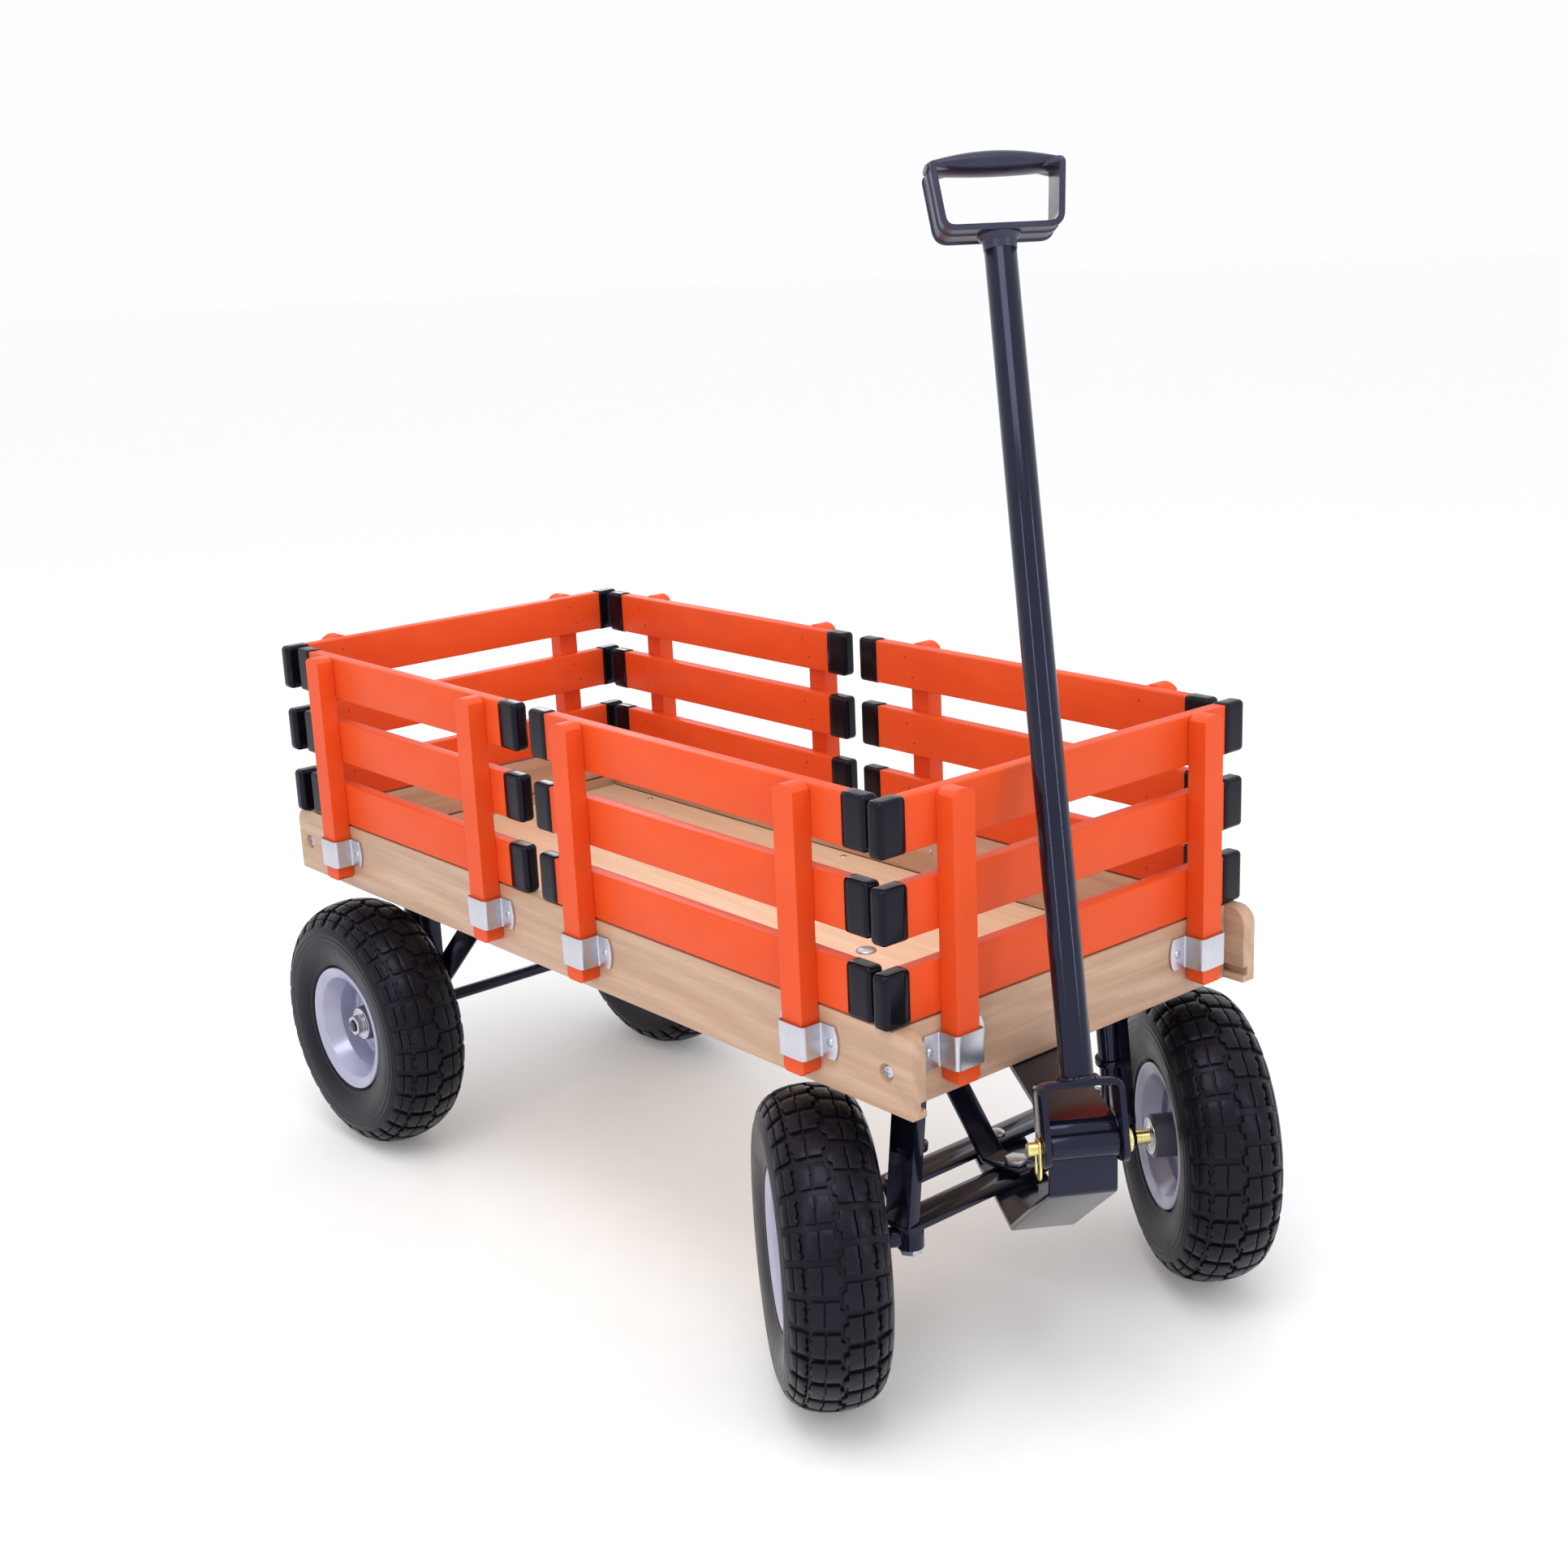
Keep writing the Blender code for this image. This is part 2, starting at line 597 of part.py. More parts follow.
def front_brace():
    """Flat bar from the middle of the axle plate up and back to the deck."""
    foot = PLATE_TOP + GAP
    top = DECK_BOTTOM - GAP
    t = STRIP
    step = 0.0022                # keeps the slanting run as thick as the ends
    outline = [(FRONT_BRACE_TIP, foot), (FRONT_BRACE_TIP, foot + t),
               (FRONT_BRACE_BEND, foot + t), (FRONT_BRACE_LANDING, top),
               (FRONT_BRACE_REAR, top), (FRONT_BRACE_REAR, top - t),
               (FRONT_BRACE_LANDING - step, top - t), (FRONT_BRACE_BEND - step, foot)]
    bar = prism(outline, 1, -FRONT_BRACE_HALF_WIDTH, FRONT_BRACE_HALF_WIDTH)
    cut(bar, rod((KINGPIN_X, 0, foot - 0.01), (KINGPIN_X, 0, foot + 0.02),
                 PIVOT_RADIUS + GAP, 16))
    finish(bar, "front_brace", BLACK_STEEL, root)


def kingpin(side):
    """Hex-headed pin up through knuckle and axle plate into the hanger's sleeve."""
    low = KNUCKLE_BOTTOM - GAP
    pin = rod((0, 0, low - 0.002), (0, 0, KINGPIN_TOP), KINGPIN_RADIUS, 12)
    fuse(pin, prism(hexagon((0, 0), HEX_SMALL), 2, low - 0.005, low))
    finish(pin, "kingpin_" + side, ZINC,
           empty("kingpin_frame_" + side, root, (KINGPIN_X, SIDES[side] * KINGPIN_Y, 0)))


def pivot_bolts():
    """Lower and upper bolts that the tongue swings on."""
    foot = PLATE_TOP + 2 * GAP + STRIP
    tongue_low = PLATE_BOTTOM - 0.0005 - STRIP
    lower = rod((0, 0, tongue_low - 0.003), (0, 0, foot + 0.003), PIVOT_RADIUS, 12)
    fuse(lower, prism(hexagon((0, 0), HEX_SMALL), 2, foot, foot + HEAD_HEIGHT))
    fuse(lower, prism(hexagon((0, 0), HEX_SMALL), 2, tongue_low - NUT_HEIGHT, tongue_low - GAP))
    frame = empty("pivot_frame", root, (KINGPIN_X, 0, 0))
    finish(lower, "tongue_pivot_lower", ZINC, frame)
    top = DECK_BOTTOM - BOLSTER_THICKNESS - 0.0015
    upper = rod((0, 0, top - STRIP - 0.003), (0, 0, top + 0.0045), PIVOT_RADIUS, 12)
    under = top - STRIP - 2 * GAP
    fuse(upper, prism(hexagon((0, 0), HEX_SMALL), 2, under - HEAD_HEIGHT, under))
    finish(upper, "tongue_pivot_upper", ZINC, frame)


# ---------------------------------------------------------------- knuckles and tie rod
def knuckle(side):
    """Block on the kingpin, boss for the axle bolt and an arm back to the tie rod."""
    sign = SIDES[side]
    frame = knuckle_frames[side]
    body = rod((0, 0, KNUCKLE_BOTTOM), (0, 0, KNUCKLE_TOP), KNUCKLE_RADIUS, 16)
    boss = rod((0, sign * 0.009, TYRE_RADIUS), (0, sign * BOSS_REACH, TYRE_RADIUS),
               BOSS_RADIUS, 12)
    arm = prism(rounded_bar(-ARM_LENGTH, 0, ARM_HALF_WIDTH), 2,
                KNUCKLE_TOP - ARM_THICKNESS, KNUCKLE_TOP)
    fuse(body, boss, arm)
    cut(body, rod((0, 0, KNUCKLE_BOTTOM - 0.01), (0, 0, KNUCKLE_TOP + 0.01),
                  KINGPIN_RADIUS + RUNNING, 12),
        rod((0, sign * 0.0085, TYRE_RADIUS), (0, sign * 0.03, TYRE_RADIUS),
            AXLE_RADIUS + GAP, 12),
        rod((-ARM_LENGTH, 0, KNUCKLE_BOTTOM), (-ARM_LENGTH, 0, KNUCKLE_TOP + 0.01),
            BOLT_RADIUS + RUNNING, 12))
    finish(body, "knuckle_" + side, BLACK_STEEL, frame)
    start = sign * 0.0090
    end = sign * (KINGPIN_TO_WHEEL + HUB_OUTER + 2 * GAP)
    head = sign * (abs(end) + NUT_HEIGHT)
    bolt = rod((0, start, TYRE_RADIUS), (0, end + sign * 0.003, TYRE_RADIUS), AXLE_RADIUS, 12)
    low, high = sorted((end, head))
    fuse(bolt, prism(hexagon((0, TYRE_RADIUS), HEX_LARGE), 1, low, high))
    finish(bolt, "front_axle_bolt_" + side, YELLOW_ZINC, frame)


def tie_rod():
    """Flat strap above the three steering arms, with a bolt down into each of them."""
    low = PLATE_BOTTOM
    high = low + STRIP
    outline = [(x, y) for y, x in rounded_bar(-KINGPIN_Y, KINGPIN_Y, TIE_ROD_HALF_WIDTH)]
    strap_bar = prism(outline, 2, low, high)
    places = {"right": -KINGPIN_Y, "centre": 0.0, "left": KINGPIN_Y}
    cut(strap_bar, *[rod((0, y, low - 0.01), (0, y, high + 0.01), BOLT_RADIUS + GAP, 12)
                     for y in places.values()])
    finish(strap_bar, "tie_rod", BLACK_STEEL, tie_rod_frame)
    for place, y in places.items():
        bolt = rod((0, y, low - 0.0085), (0, y, high + 0.002), BOLT_RADIUS, 12)
        head = turned([(high + GAP, 0.0001), (high + GAP, 0.0078), (high + 0.002, 0.0074),
                       (high + 0.0042, 0.004), (high + 0.0046, 0.0001)], 2, 12)
        head.data.transform(Matrix.Translation((0, y, 0)))
        fuse(bolt, head)
        finish(bolt, "tie_rod_bolt_" + place, ZINC, tie_rod_frame)


# ---------------------------------------------------------------- tongue, pin and handle
def tongue():
    """One folded strip: top plate, nose over the hitch pin, sloping face, bottom plate."""
    t = STRIP
    top = DECK_BOTTOM - BOLSTER_THICKNESS - 0.0015
    bottom = PLATE_BOTTOM - 0.0005
    nose = PIN_REACH + NOSE_WALL
    chin = TONGUE_CHIN
    toe = TONGUE_TOE
    outer = [(TOP_PLATE_REAR, top), (nose - 0.010, top), (nose - 0.003, top - 0.004),
             (nose, top - 0.012), (nose, chin), (nose - 0.002, chin - 0.004),
             (toe + 0.003, bottom - t), (toe - 0.003, bottom - t),
             (BOTTOM_PLATE_REAR, bottom - t)]
    inner = [(BOTTOM_PLATE_REAR, bottom), (toe - 0.004, bottom), (nose - t, chin + 0.002),
             (nose - t, top - 0.014), (nose - t - 0.006, top - t), (TOP_PLATE_REAR, top - t)]
    body = prism(outer + inner, 1, -TONGUE_WIDTH / 2, TONGUE_WIDTH / 2)
    fuse(body, rod((PIN_REACH, -TONGUE_WIDTH / 2, PIN_HEIGHT),
                   (PIN_REACH, TONGUE_WIDTH / 2, PIN_HEIGHT), PIN_TUBE_RADIUS, 16))
    over = 0.002
    for rear, z in ((BOTTOM_PLATE_REAR, bottom - t / 2), (TOP_PLATE_REAR, top - t / 2)):
        for edge in (-1, 1):
            y = edge * TONGUE_WIDTH / 2
            outline = [(rear - over, y + edge * over), (rear + PLATE_CORNER, y + edge * over),
                       (rear - over, y - edge * PLATE_CORNER)]
            cut(body, prism(outline, 2, z - t, z + t))
    cut(body, rod((PIN_REACH, -0.05, PIN_HEIGHT), (PIN_REACH, 0.05, PIN_HEIGHT),
                  PIVOT_RADIUS + GAP, 16),
        rod((0, 0, bottom - t - 0.01), (0, 0, bottom + 0.01), PIVOT_RADIUS + RUNNING, 12),
        rod((0, 0, top - t - 0.01), (0, 0, top + 0.01), PIVOT_RADIUS + RUNNING, 12),
        rod((-ARM_LENGTH, 0, bottom - t - 0.01), (-ARM_LENGTH, 0, bottom + 0.01),
            BOLT_RADIUS + RUNNING, 12))
    finish(body, "tongue", BLACK_STEEL, steer_frame)


def hitch_pin():
    """Headed pin through yoke and tongue, with a spring clip on its right end."""
    ear = YOKE_OUTER + GAP
    pin = turned([(-0.0425, 0.0001), (-0.0425, 0.0042), (-0.0415, PIVOT_RADIUS),
                  (ear, PIVOT_RADIUS), (ear, 0.009), (ear + 0.0035, 0.009),
                  (ear + 0.0045, 0.0075), (ear + 0.0045, 0.0001)], 1, 16)
    frame = empty("hitch_pin_frame", steer_frame, (PIN_REACH, 0, PIN_HEIGHT))
    finish(pin, "hitch_pin", YELLOW_ZINC, frame)
    outline = rounded_bar(-0.026, 0.004, 0.0085, 6)
    outline = [(y, x) for x, y in outline]
    clip = prism(outline, 1, -ear - 0.005, -ear)
    cut(clip, rod((0, -0.05, 0), (0, 0, 0), PIVOT_RADIUS + GAP, 12),
        block((-0.004, -0.05, -0.029), (0.004, 0, -0.009)))
    finish(clip, "hitch_clip", YELLOW_ZINC, frame)


def handle():
    """Yoke that straddles the tongue, with the long tube welded on top."""
    r = YOKE_CORNER
    outline = [(-YOKE_OUTER, YOKE_FOOT), (-YOKE_OUTER, YOKE_TOP - r)]
    outline += arc((-YOKE_OUTER + r, YOKE_TOP - r), r, 180, 90, 4)[1:]
    outline += arc((YOKE_OUTER - r, YOKE_TOP - r), r, 90, 0, 4)
    outline += [(YOKE_OUTER, YOKE_FOOT), (YOKE_INNER, YOKE_FOOT)]
    inner_r = r - STRIP
    outline += arc((YOKE_INNER - inner_r, YOKE_TOP - r), inner_r, 0, 90, 4)
    outline += arc((-YOKE_INNER + inner_r, YOKE_TOP - r), inner_r, 90, 180, 4)
    outline += [(-YOKE_INNER, YOKE_FOOT)]
    depth = YOKE_HALF_DEPTH
    yoke = prism(outline, 0, -depth, depth)
    for end in (-1, 1):
        corner = [(end * (depth + 0.001), YOKE_FOOT - 0.001),
                  (end * (depth + 0.001), YOKE_FOOT + FOOT_CHAMFER),
                  (end * (depth - FOOT_CHAMFER + 0.001), YOKE_FOOT - 0.001)]
        cut(yoke, prism(corner, 1, -0.04, 0.04))
    weld = turned([(YOKE_TOP - 0.002, 0.0001), (YOKE_TOP - 0.002, TUBE_RADIUS + 0.004),
                   (YOKE_TOP + 0.001, TUBE_RADIUS + 0.0035),
                   (YOKE_TOP + WELD_HEIGHT, TUBE_RADIUS - 0.0005),
                   (YOKE_TOP + WELD_HEIGHT, 0.0001)],
                  2, 20)
    tube = rod((0, 0, YOKE_TOP - 0.001), (0, 0, TUBE_END), TUBE_RADIUS, 20)
    fuse(yoke, weld, tube)
    cut(yoke, rod((0, -0.05, 0), (0, 0.05, 0), PIVOT_RADIUS + RUNNING, 12),
        rod((0, 0, YOKE_TOP + 2 * WELD_HEIGHT), (0, 0, TUBE_END + 0.01), TUBE_BORE, 16))
    finish(yoke, "handle", BLACK_STEEL, handle_frame)


def grip():
    """Closed D-shaped hand loop: wide band below and at the sides, round bar on top."""
    low = TUBE_END + GAP
    w = GRIP_HALF_WIDTH
    foot = w - GRIP_TAPER
    band = GRIP_BAND
    r = GRIP_CORNER
    top = GRIP_TOP + GRIP_CROWN
    outer = (arc((foot - r, low + r), r, -90, 0, 4) + arc((w - r, top - r), r, 0, 90, 4)
             + arc((-w + r, top - r), r, 90, 180, 4)
             + arc((-foot + r, low + r), r, 180, 270, 4))
    loop = prism(outer, 0, -GRIP_HALF_DEPTH, GRIP_HALF_DEPTH)
    r = r - band
    hole_top = GRIP_TOP - GRIP_SHELF
    hole = (arc((foot - band - r, low + band + r), r, -90, 0, 4)
            + arc((w - band - r, hole_top - r), r, 0, 90, 4)
            + arc((-w + band + r, hole_top - r), r, 90, 180, 4)
            + arc((-foot + band + r, low + band + r), r, 180, 270, 4))
    cut(loop, prism(hole, 0, -0.03, 0.03))
    bar_end = w - 0.004
    profile = [(-bar_end, 0.0001)]
    steps = 6
    for i in range(steps + 1):
        s = -bar_end + 2 * bar_end * i / steps
        swell = (GRIP_BAR_RADIUS - GRIP_BAR_END_RADIUS) * cos(s / bar_end * pi / 2)
        profile.append((s, GRIP_BAR_END_RADIUS + swell))
    profile.append((bar_end, 0.0001))
    bar = turned(profile, 1, 14)
    bar.data.transform(Matrix.Translation((0, 0, GRIP_TOP)))
    gusset = w - 0.020
    for low_x, high_x in ((-0.03, -0.0085), (0.0085, 0.03)):
        cut(loop, block((low_x, -gusset, hole_top - 0.001), (high_x, gusset, top + 0.01)))
    fuse(loop, bar)
    finish(loop, "grip", BLACK_PLASTIC, handle_frame)


# ---------------------------------------------------------------- rear axle
def rear_axle():
    reach = REAR_WHEEL_Y + HUB_OUTER + 0.0095
    frame = empty("rear_axle_frame", root, (REAR_AXLE_X, 0, TYRE_RADIUS))
    finish(rod((0, -reach, 0), (0, reach, 0), AXLE_RADIUS, 12), "rear_axle", BLACK_STEEL, frame)
    for side, sign in SIDES.items():
        inner = sign * (REAR_WHEEL_Y + HUB_OUTER + 2 * GAP)
        low, high = sorted((inner, inner + sign * NUT_HEIGHT))
        nut = prism(hexagon((0, 0), HEX_LARGE), 1, low, high)
        cut(nut, rod((0, low - 0.01, 0), (0, high + 0.01, 0), AXLE_RADIUS + GAP, 12))
        finish(nut, "rear_axle_nut_" + side, ZINC, frame)


def rear_hanger(side):
    sign = SIDES[side]
    body = channel(sign * REAR_HANGER_FACE, sign, HANGER_BOTTOM, DECK_BOTTOM - GAP,
                   REAR_CHANNEL_HALF_WIDTH, REAR_CHANNEL_DEPTH)
    face = REAR_HANGER_FACE + 0.01
    cut(body, rod((0, sign * (face - 0.04), TYRE_RADIUS), (0, sign * face, TYRE_RADIUS),
                  AXLE_RADIUS + GAP, 12))
    finish(body, "rear_hanger_" + side, BLACK_STEEL,
           empty("rear_hanger_frame_" + side, root, (REAR_AXLE_X, 0, 0)))


def rear_brace(side):
    """Folded diagonal strut from the foot of a rear hanger forward and up to the deck."""
    sign = SIDES[side]
    start = REAR_AXLE_X + REAR_CHANNEL_HALF_WIDTH + GAP
    foot = BRACE_FOOT
    head = DECK_BOTTOM - GAP
    depth = BRACE_DEPTH
    rise = head - foot
    outline = [(start, foot), (start, foot + depth), (start + rise - depth, head),
               (start + rise, head)]
    low, high = sorted((sign * BRACE_PLANE, sign * (BRACE_PLANE + BRACE_WALL)))
    web = prism(outline, 1, low, high)
    fold = [(start, foot + depth - BRACE_LIP), (start, foot + depth),
            (start + rise - depth, head), (start + rise - depth + BRACE_LIP, head)]
    low, high = sorted((sign * (BRACE_PLANE + BRACE_WALL), sign * (BRACE_PLANE - BRACE_FLANGE)))
    fuse(web, prism(fold, 1, low, high))
    finish(web, "rear_brace_" + side, BLACK_STEEL, root)


# ---------------------------------------------------------------- assembly
deck()
end_board("front_board", FRONT_FACE_X, -1, False)
end_board("rear_board", REAR_FACE_X, 1, True)
for wagon_side in SIDES:
    side_board(wagon_side)
    side_gates(wagon_side)
    front_hanger(wagon_side)
    kingpin(wagon_side)
    knuckle(wagon_side)
    rear_hanger(wagon_side)
    rear_brace(wagon_side)
end_gate("front", FRONT_FACE_X, pi / 2)
end_gate("rear", REAR_FACE_X, -pi / 2)
wheels()
front_bolster()
front_axle_plate()
front_brace()
pivot_bolts()
tie_rod()
tongue()
hitch_pin()
handle()
grip()
rear_axle()
bpy.context.view_layer.update()
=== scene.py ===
"""Looks for the pull wagon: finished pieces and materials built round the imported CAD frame.

Units are metres, in the frame's own axes: +X forward, +Y to the wagon's left, +Z up.
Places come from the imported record's joints and from the CAD nodes' boxes.
"""
import json
from math import cos, pi, radians, sin, sqrt

import bmesh
import bpy
from mathutils import Matrix, Vector

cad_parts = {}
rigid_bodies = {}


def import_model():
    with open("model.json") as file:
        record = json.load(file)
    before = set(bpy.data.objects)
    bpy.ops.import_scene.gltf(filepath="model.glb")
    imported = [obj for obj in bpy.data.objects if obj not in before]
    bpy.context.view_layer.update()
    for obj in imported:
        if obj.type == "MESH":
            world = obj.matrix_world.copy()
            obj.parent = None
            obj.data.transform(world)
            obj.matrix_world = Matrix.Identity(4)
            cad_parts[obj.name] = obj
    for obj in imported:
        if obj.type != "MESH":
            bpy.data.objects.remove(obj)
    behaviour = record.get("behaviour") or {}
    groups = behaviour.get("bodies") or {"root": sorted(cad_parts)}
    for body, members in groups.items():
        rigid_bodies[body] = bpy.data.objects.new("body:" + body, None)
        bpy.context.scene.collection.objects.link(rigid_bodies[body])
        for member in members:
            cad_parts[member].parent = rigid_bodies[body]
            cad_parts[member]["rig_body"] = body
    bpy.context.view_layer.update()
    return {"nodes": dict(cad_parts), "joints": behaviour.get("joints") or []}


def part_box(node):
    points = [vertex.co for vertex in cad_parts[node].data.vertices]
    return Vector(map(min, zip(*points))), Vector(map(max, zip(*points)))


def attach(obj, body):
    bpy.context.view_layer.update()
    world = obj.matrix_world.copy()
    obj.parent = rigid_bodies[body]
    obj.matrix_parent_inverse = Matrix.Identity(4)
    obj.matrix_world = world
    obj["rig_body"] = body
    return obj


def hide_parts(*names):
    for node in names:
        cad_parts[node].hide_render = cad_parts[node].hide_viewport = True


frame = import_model()
JOINTS = {joint["name"]: joint for joint in frame["joints"]}

# ---- sizes that pieces share
GAP = 0.0003
HANDLE_LEAN = radians(19.1)

BOARD_THICKNESS = 0.0151
COUNTERBORE_DEPTH = 0.004
COUNTERBORE_RISE = 0.0315    # above the end boards' lower edge
DECK_SCREW_X = (-0.4, -0.07, 0.27)
DECK_SCREW_INSET = 0.011     # in from a side board's inner face
BRACE_BOLT_INSET = 0.012
BOLSTER_BOLT_INSET = 0.01
BOLSTER_BOLT_Y = 0.098
REAR_BOLT_Y = 0.118

RAIL_THICKNESS = 0.0135
RAIL_HEIGHT = 0.0423
RAIL_PITCH = 0.0663
RAIL_LIFT = 0.0016
RAIL_IN_CAP = 0.006          # rail's end to the cap's tip
CAP_LENGTH = 0.0262
CAP_PROUD = 0.001
CAP_ROUND = 0.005           # tip's rounding
STAKE_WIDTH = 0.0235
STAKE_THICKNESS = 0.018
STAKE_PLAY = 0.0016          # between a stake's side and its strap
BRAD_RADIUS = 0.0011
BRAD_SPOTS = ((-0.0045, 0.012), (0.0045, 0.031))   # across the stake, up the rail

STRAP_WALL = 0.002
STRAP_TIP_RADIUS = 0.0265
STRAP_TIP_HALF_HEIGHT = 0.0145
SCREW_INSET = 0.0085         # strap screw in from the flange's tip

TYRE_RADIUS = 0.131
TREAD_PITCHES = 30
TREAD_DEPTH = 0.003
BLOCK_ROOT = 0.0006          # a tread block's foot below the groove's floor
BEAD_HALF_WIDTH = 0.03
BEAD_RADIUS = 0.0605
RIM_RADIUS = 0.0657
RIM_HALF_WIDTH = 0.036
AXLE_RADIUS = 0.00635
HUB_INNER = -0.041
HUB_OUTER = 0.018
BEARING_BORE = AXLE_RADIUS + 0.0002

TONGUE_HALF_WIDTH = 0.026
TONGUE_TOP_END = -0.03
TONGUE_BOTTOM_END = -0.09
TONGUE_END_ROUND = 0.012
NOSE_PROUD = 0.002           # nose in front of the hitch pin's middle
NOSE_FOOT = 0.2285
SLOPE_FOOT = 0.0878
PIN_TUBE_BORE = 0.0054
PIN_TUBE_RADIUS = 0.0105
STRIP = 0.005
YOKE_HALF_WIDTH = 0.0295     # to the middle of the bar's thickness
YOKE_HALF_DEPTH = 0.015
YOKE_TOP = 0.048
YOKE_FOOT = -0.015
CLIP_WIRE = 0.0012
CLIP_HALF_WIDTH = 0.0066     # to the middle of the wire
CLIP_DROP = 0.0235
CLIP_RISE = 0.0066
TUBE_RADIUS = 0.0125
TUBE_END = 0.6857
GRIP_HALF_WIDTH = 0.053
GRIP_HALF_DEPTH = 0.018
GRIP_TOP = 0.7425


# ---- node materials
def add(tree, kind, inputs=None, **settings):
    """A shader node; its inputs take a value or another node's output."""
    node = tree.nodes.new("ShaderNode" + kind)
    for key, value in settings.items():
        setattr(node, key, value)
    for socket, value in (inputs or {}).items():
        if isinstance(value, bpy.types.NodeSocket):
            tree.links.new(value, node.inputs[socket])
        else:
            node.inputs[socket].default_value = value
    return node


def start_material(name, roughness, metallic=0.0):
    material = bpy.data.materials.new(name)
    material.use_nodes = True
    tree = material.node_tree
    shader = tree.nodes["Principled BSDF"]
    shader.inputs["Roughness"].default_value = roughness
    shader.inputs["Metallic"].default_value = metallic
    return material, tree, shader


def stretched(tree, scale=(1.0, 1.0, 1.0)):
    """The piece's own coordinates, scaled apart on each axis."""
    place = add(tree, "TexCoord").outputs["Object"]
    return add(tree, "Mapping", {"Vector": place, "Scale": scale}).outputs["Vector"]


def noise(tree, vector, scale=1.0, detail=3.0, roughness=0.5, distortion=0.0):
    return add(tree, "TexNoise", {"Vector": vector, "Scale": scale, "Detail": detail,
                                  "Roughness": roughness, "Distortion": distortion}).outputs["Fac"]


def ramp(tree, value, *stops):
    """Colour ramp; each stop is (position, colour or grey)."""
    node = add(tree, "ValToRGB", {"Fac": value})
    elements = node.color_ramp.elements
    while len(elements) < len(stops):
        elements.new(0.5)
    for element, (position, colour) in zip(elements, stops):
        element.position = position
        if isinstance(colour, float):
            colour = (colour, colour, colour)
        element.color = (*colour, 1.0)
    return node.outputs["Color"]


def mixed(tree, factor, first, second, blend="MIX"):
    colours = [(*c, 1.0) if isinstance(c, tuple) else c for c in (first, second)]
    return add(tree, "MixRGB", {"Fac": factor, "Color1": colours[0], "Color2": colours[1]},
               blend_type=blend).outputs["Color"]


def spread(tree, value, low, high):
    """Maps noise, which stays mostly between 0.3 and 0.7, onto a range."""
    return add(tree, "MapRange", {"Value": value, "From Min": 0.3, "From Max": 0.7,
                                  "To Min": low, "To Max": high}).outputs["Result"]


def bump(tree, shader, height, strength, distance):
    node = add(tree, "Bump", {"Height": height, "Strength": strength, "Distance": distance})
    tree.links.new(node.outputs["Normal"], shader.inputs["Normal"])


def along_grain(axis, lengthways, across):
    return tuple(lengthways if i == axis else across for i in range(3))


def bare_wood(name, axis, pale, middle, dark, gloss=0.38):
    """Clear-coated beech: long soft figure, fine fibres and short dark ray flecks."""
    material, tree, shader = start_material(name, gloss)
    figure = add(tree, "TexWave", {"Vector": stretched(tree, along_grain(axis, 1.1, 11.0)), "Scale": 2.2,
        "Distortion": 7.0, "Detail": 3.0, "Detail Scale": 1.3, "Detail Roughness": 0.55},
        wave_type="BANDS", bands_direction="DIAGONAL").outputs["Fac"]
    streaks = noise(tree, stretched(tree, along_grain(axis, 5.0, 150.0)), 1.0, 4.0, 0.6, 0.3)
    fibres = noise(tree, stretched(tree, along_grain(axis, 60.0, 1500.0)), 1.0, 2.0)
    flecks = add(tree, "TexVoronoi", {
        "Vector": stretched(tree, along_grain(axis, 130.0, 620.0)), "Scale": 1.0,
        "Randomness": 1.0}).outputs["Distance"]
    body = mixed(tree, ramp(tree, figure, (0.15, 0.0), (0.9, 1.0)), pale, middle)
    body = mixed(tree, ramp(tree, streaks, (0.4, 0.0), (0.75, 0.42)), body, dark)
    body = mixed(tree, ramp(tree, fibres, (0.38, 0.16), (0.62, 0.0)), body, dark)
    body = mixed(tree, ramp(tree, flecks, (0.06, 0.4), (0.2, 0.0)), body, dark, "MULTIPLY")
    tree.links.new(body, shader.inputs["Base Color"])
    tree.links.new(spread(tree, streaks, gloss - 0.06, gloss + 0.1), shader.inputs["Roughness"])
    bump(tree, shader, fibres, 0.12, 0.0002)
    return material


def painted_wood(name, axis):
    """Satin orange paint with a little of the grain showing through."""
    material, tree, shader = start_material(name, 0.42)
    shader.inputs["Specular IOR Level"].default_value = 0.22
    grain = noise(tree, stretched(tree, along_grain(axis, 18.0, 420.0)), 1.0, 4.0, 0.6)
    clouds = noise(tree, stretched(tree, (14.0, 14.0, 14.0)), 1.0, 3.0)
    colour = mixed(tree, spread(tree, clouds, 0.0, 1.0), (0.77, 0.086, 0.016), (0.71, 0.07, 0.011))
    colour = mixed(tree, ramp(tree, grain, (0.3, 0.16), (0.5, 0.0)), colour, (0.56, 0.05, 0.008))
    tree.links.new(colour, shader.inputs["Base Color"])
    tree.links.new(spread(tree, grain, 0.36, 0.5), shader.inputs["Roughness"])
    bump(tree, shader, grain, 0.14, 0.0003)
    return material


def moulded(name, low, high, gloss, peel, depth, metallic=0.0, specular=0.5, tint=(1.0, 1.0, 1.0)):
    """Even paint or plastic with a fine surface ripple and a little colour drift."""
    material, tree, shader = start_material(name, gloss, metallic)
    shader.inputs["Specular IOR Level"].default_value = specular
    shader.inputs["Specular Tint"].default_value = (*tint, 1.0)
    ripple = noise(tree, stretched(tree), peel, 2.0)
    drift = noise(tree, stretched(tree), 30.0, 3.0)
    tree.links.new(mixed(tree, spread(tree, drift, 0.0, 1.0), low, high), shader.inputs["Base Color"])
    tree.links.new(spread(tree, drift, gloss * 0.85, gloss * 1.2), shader.inputs["Roughness"])
    bump(tree, shader, ripple, 0.2, depth)
    return material


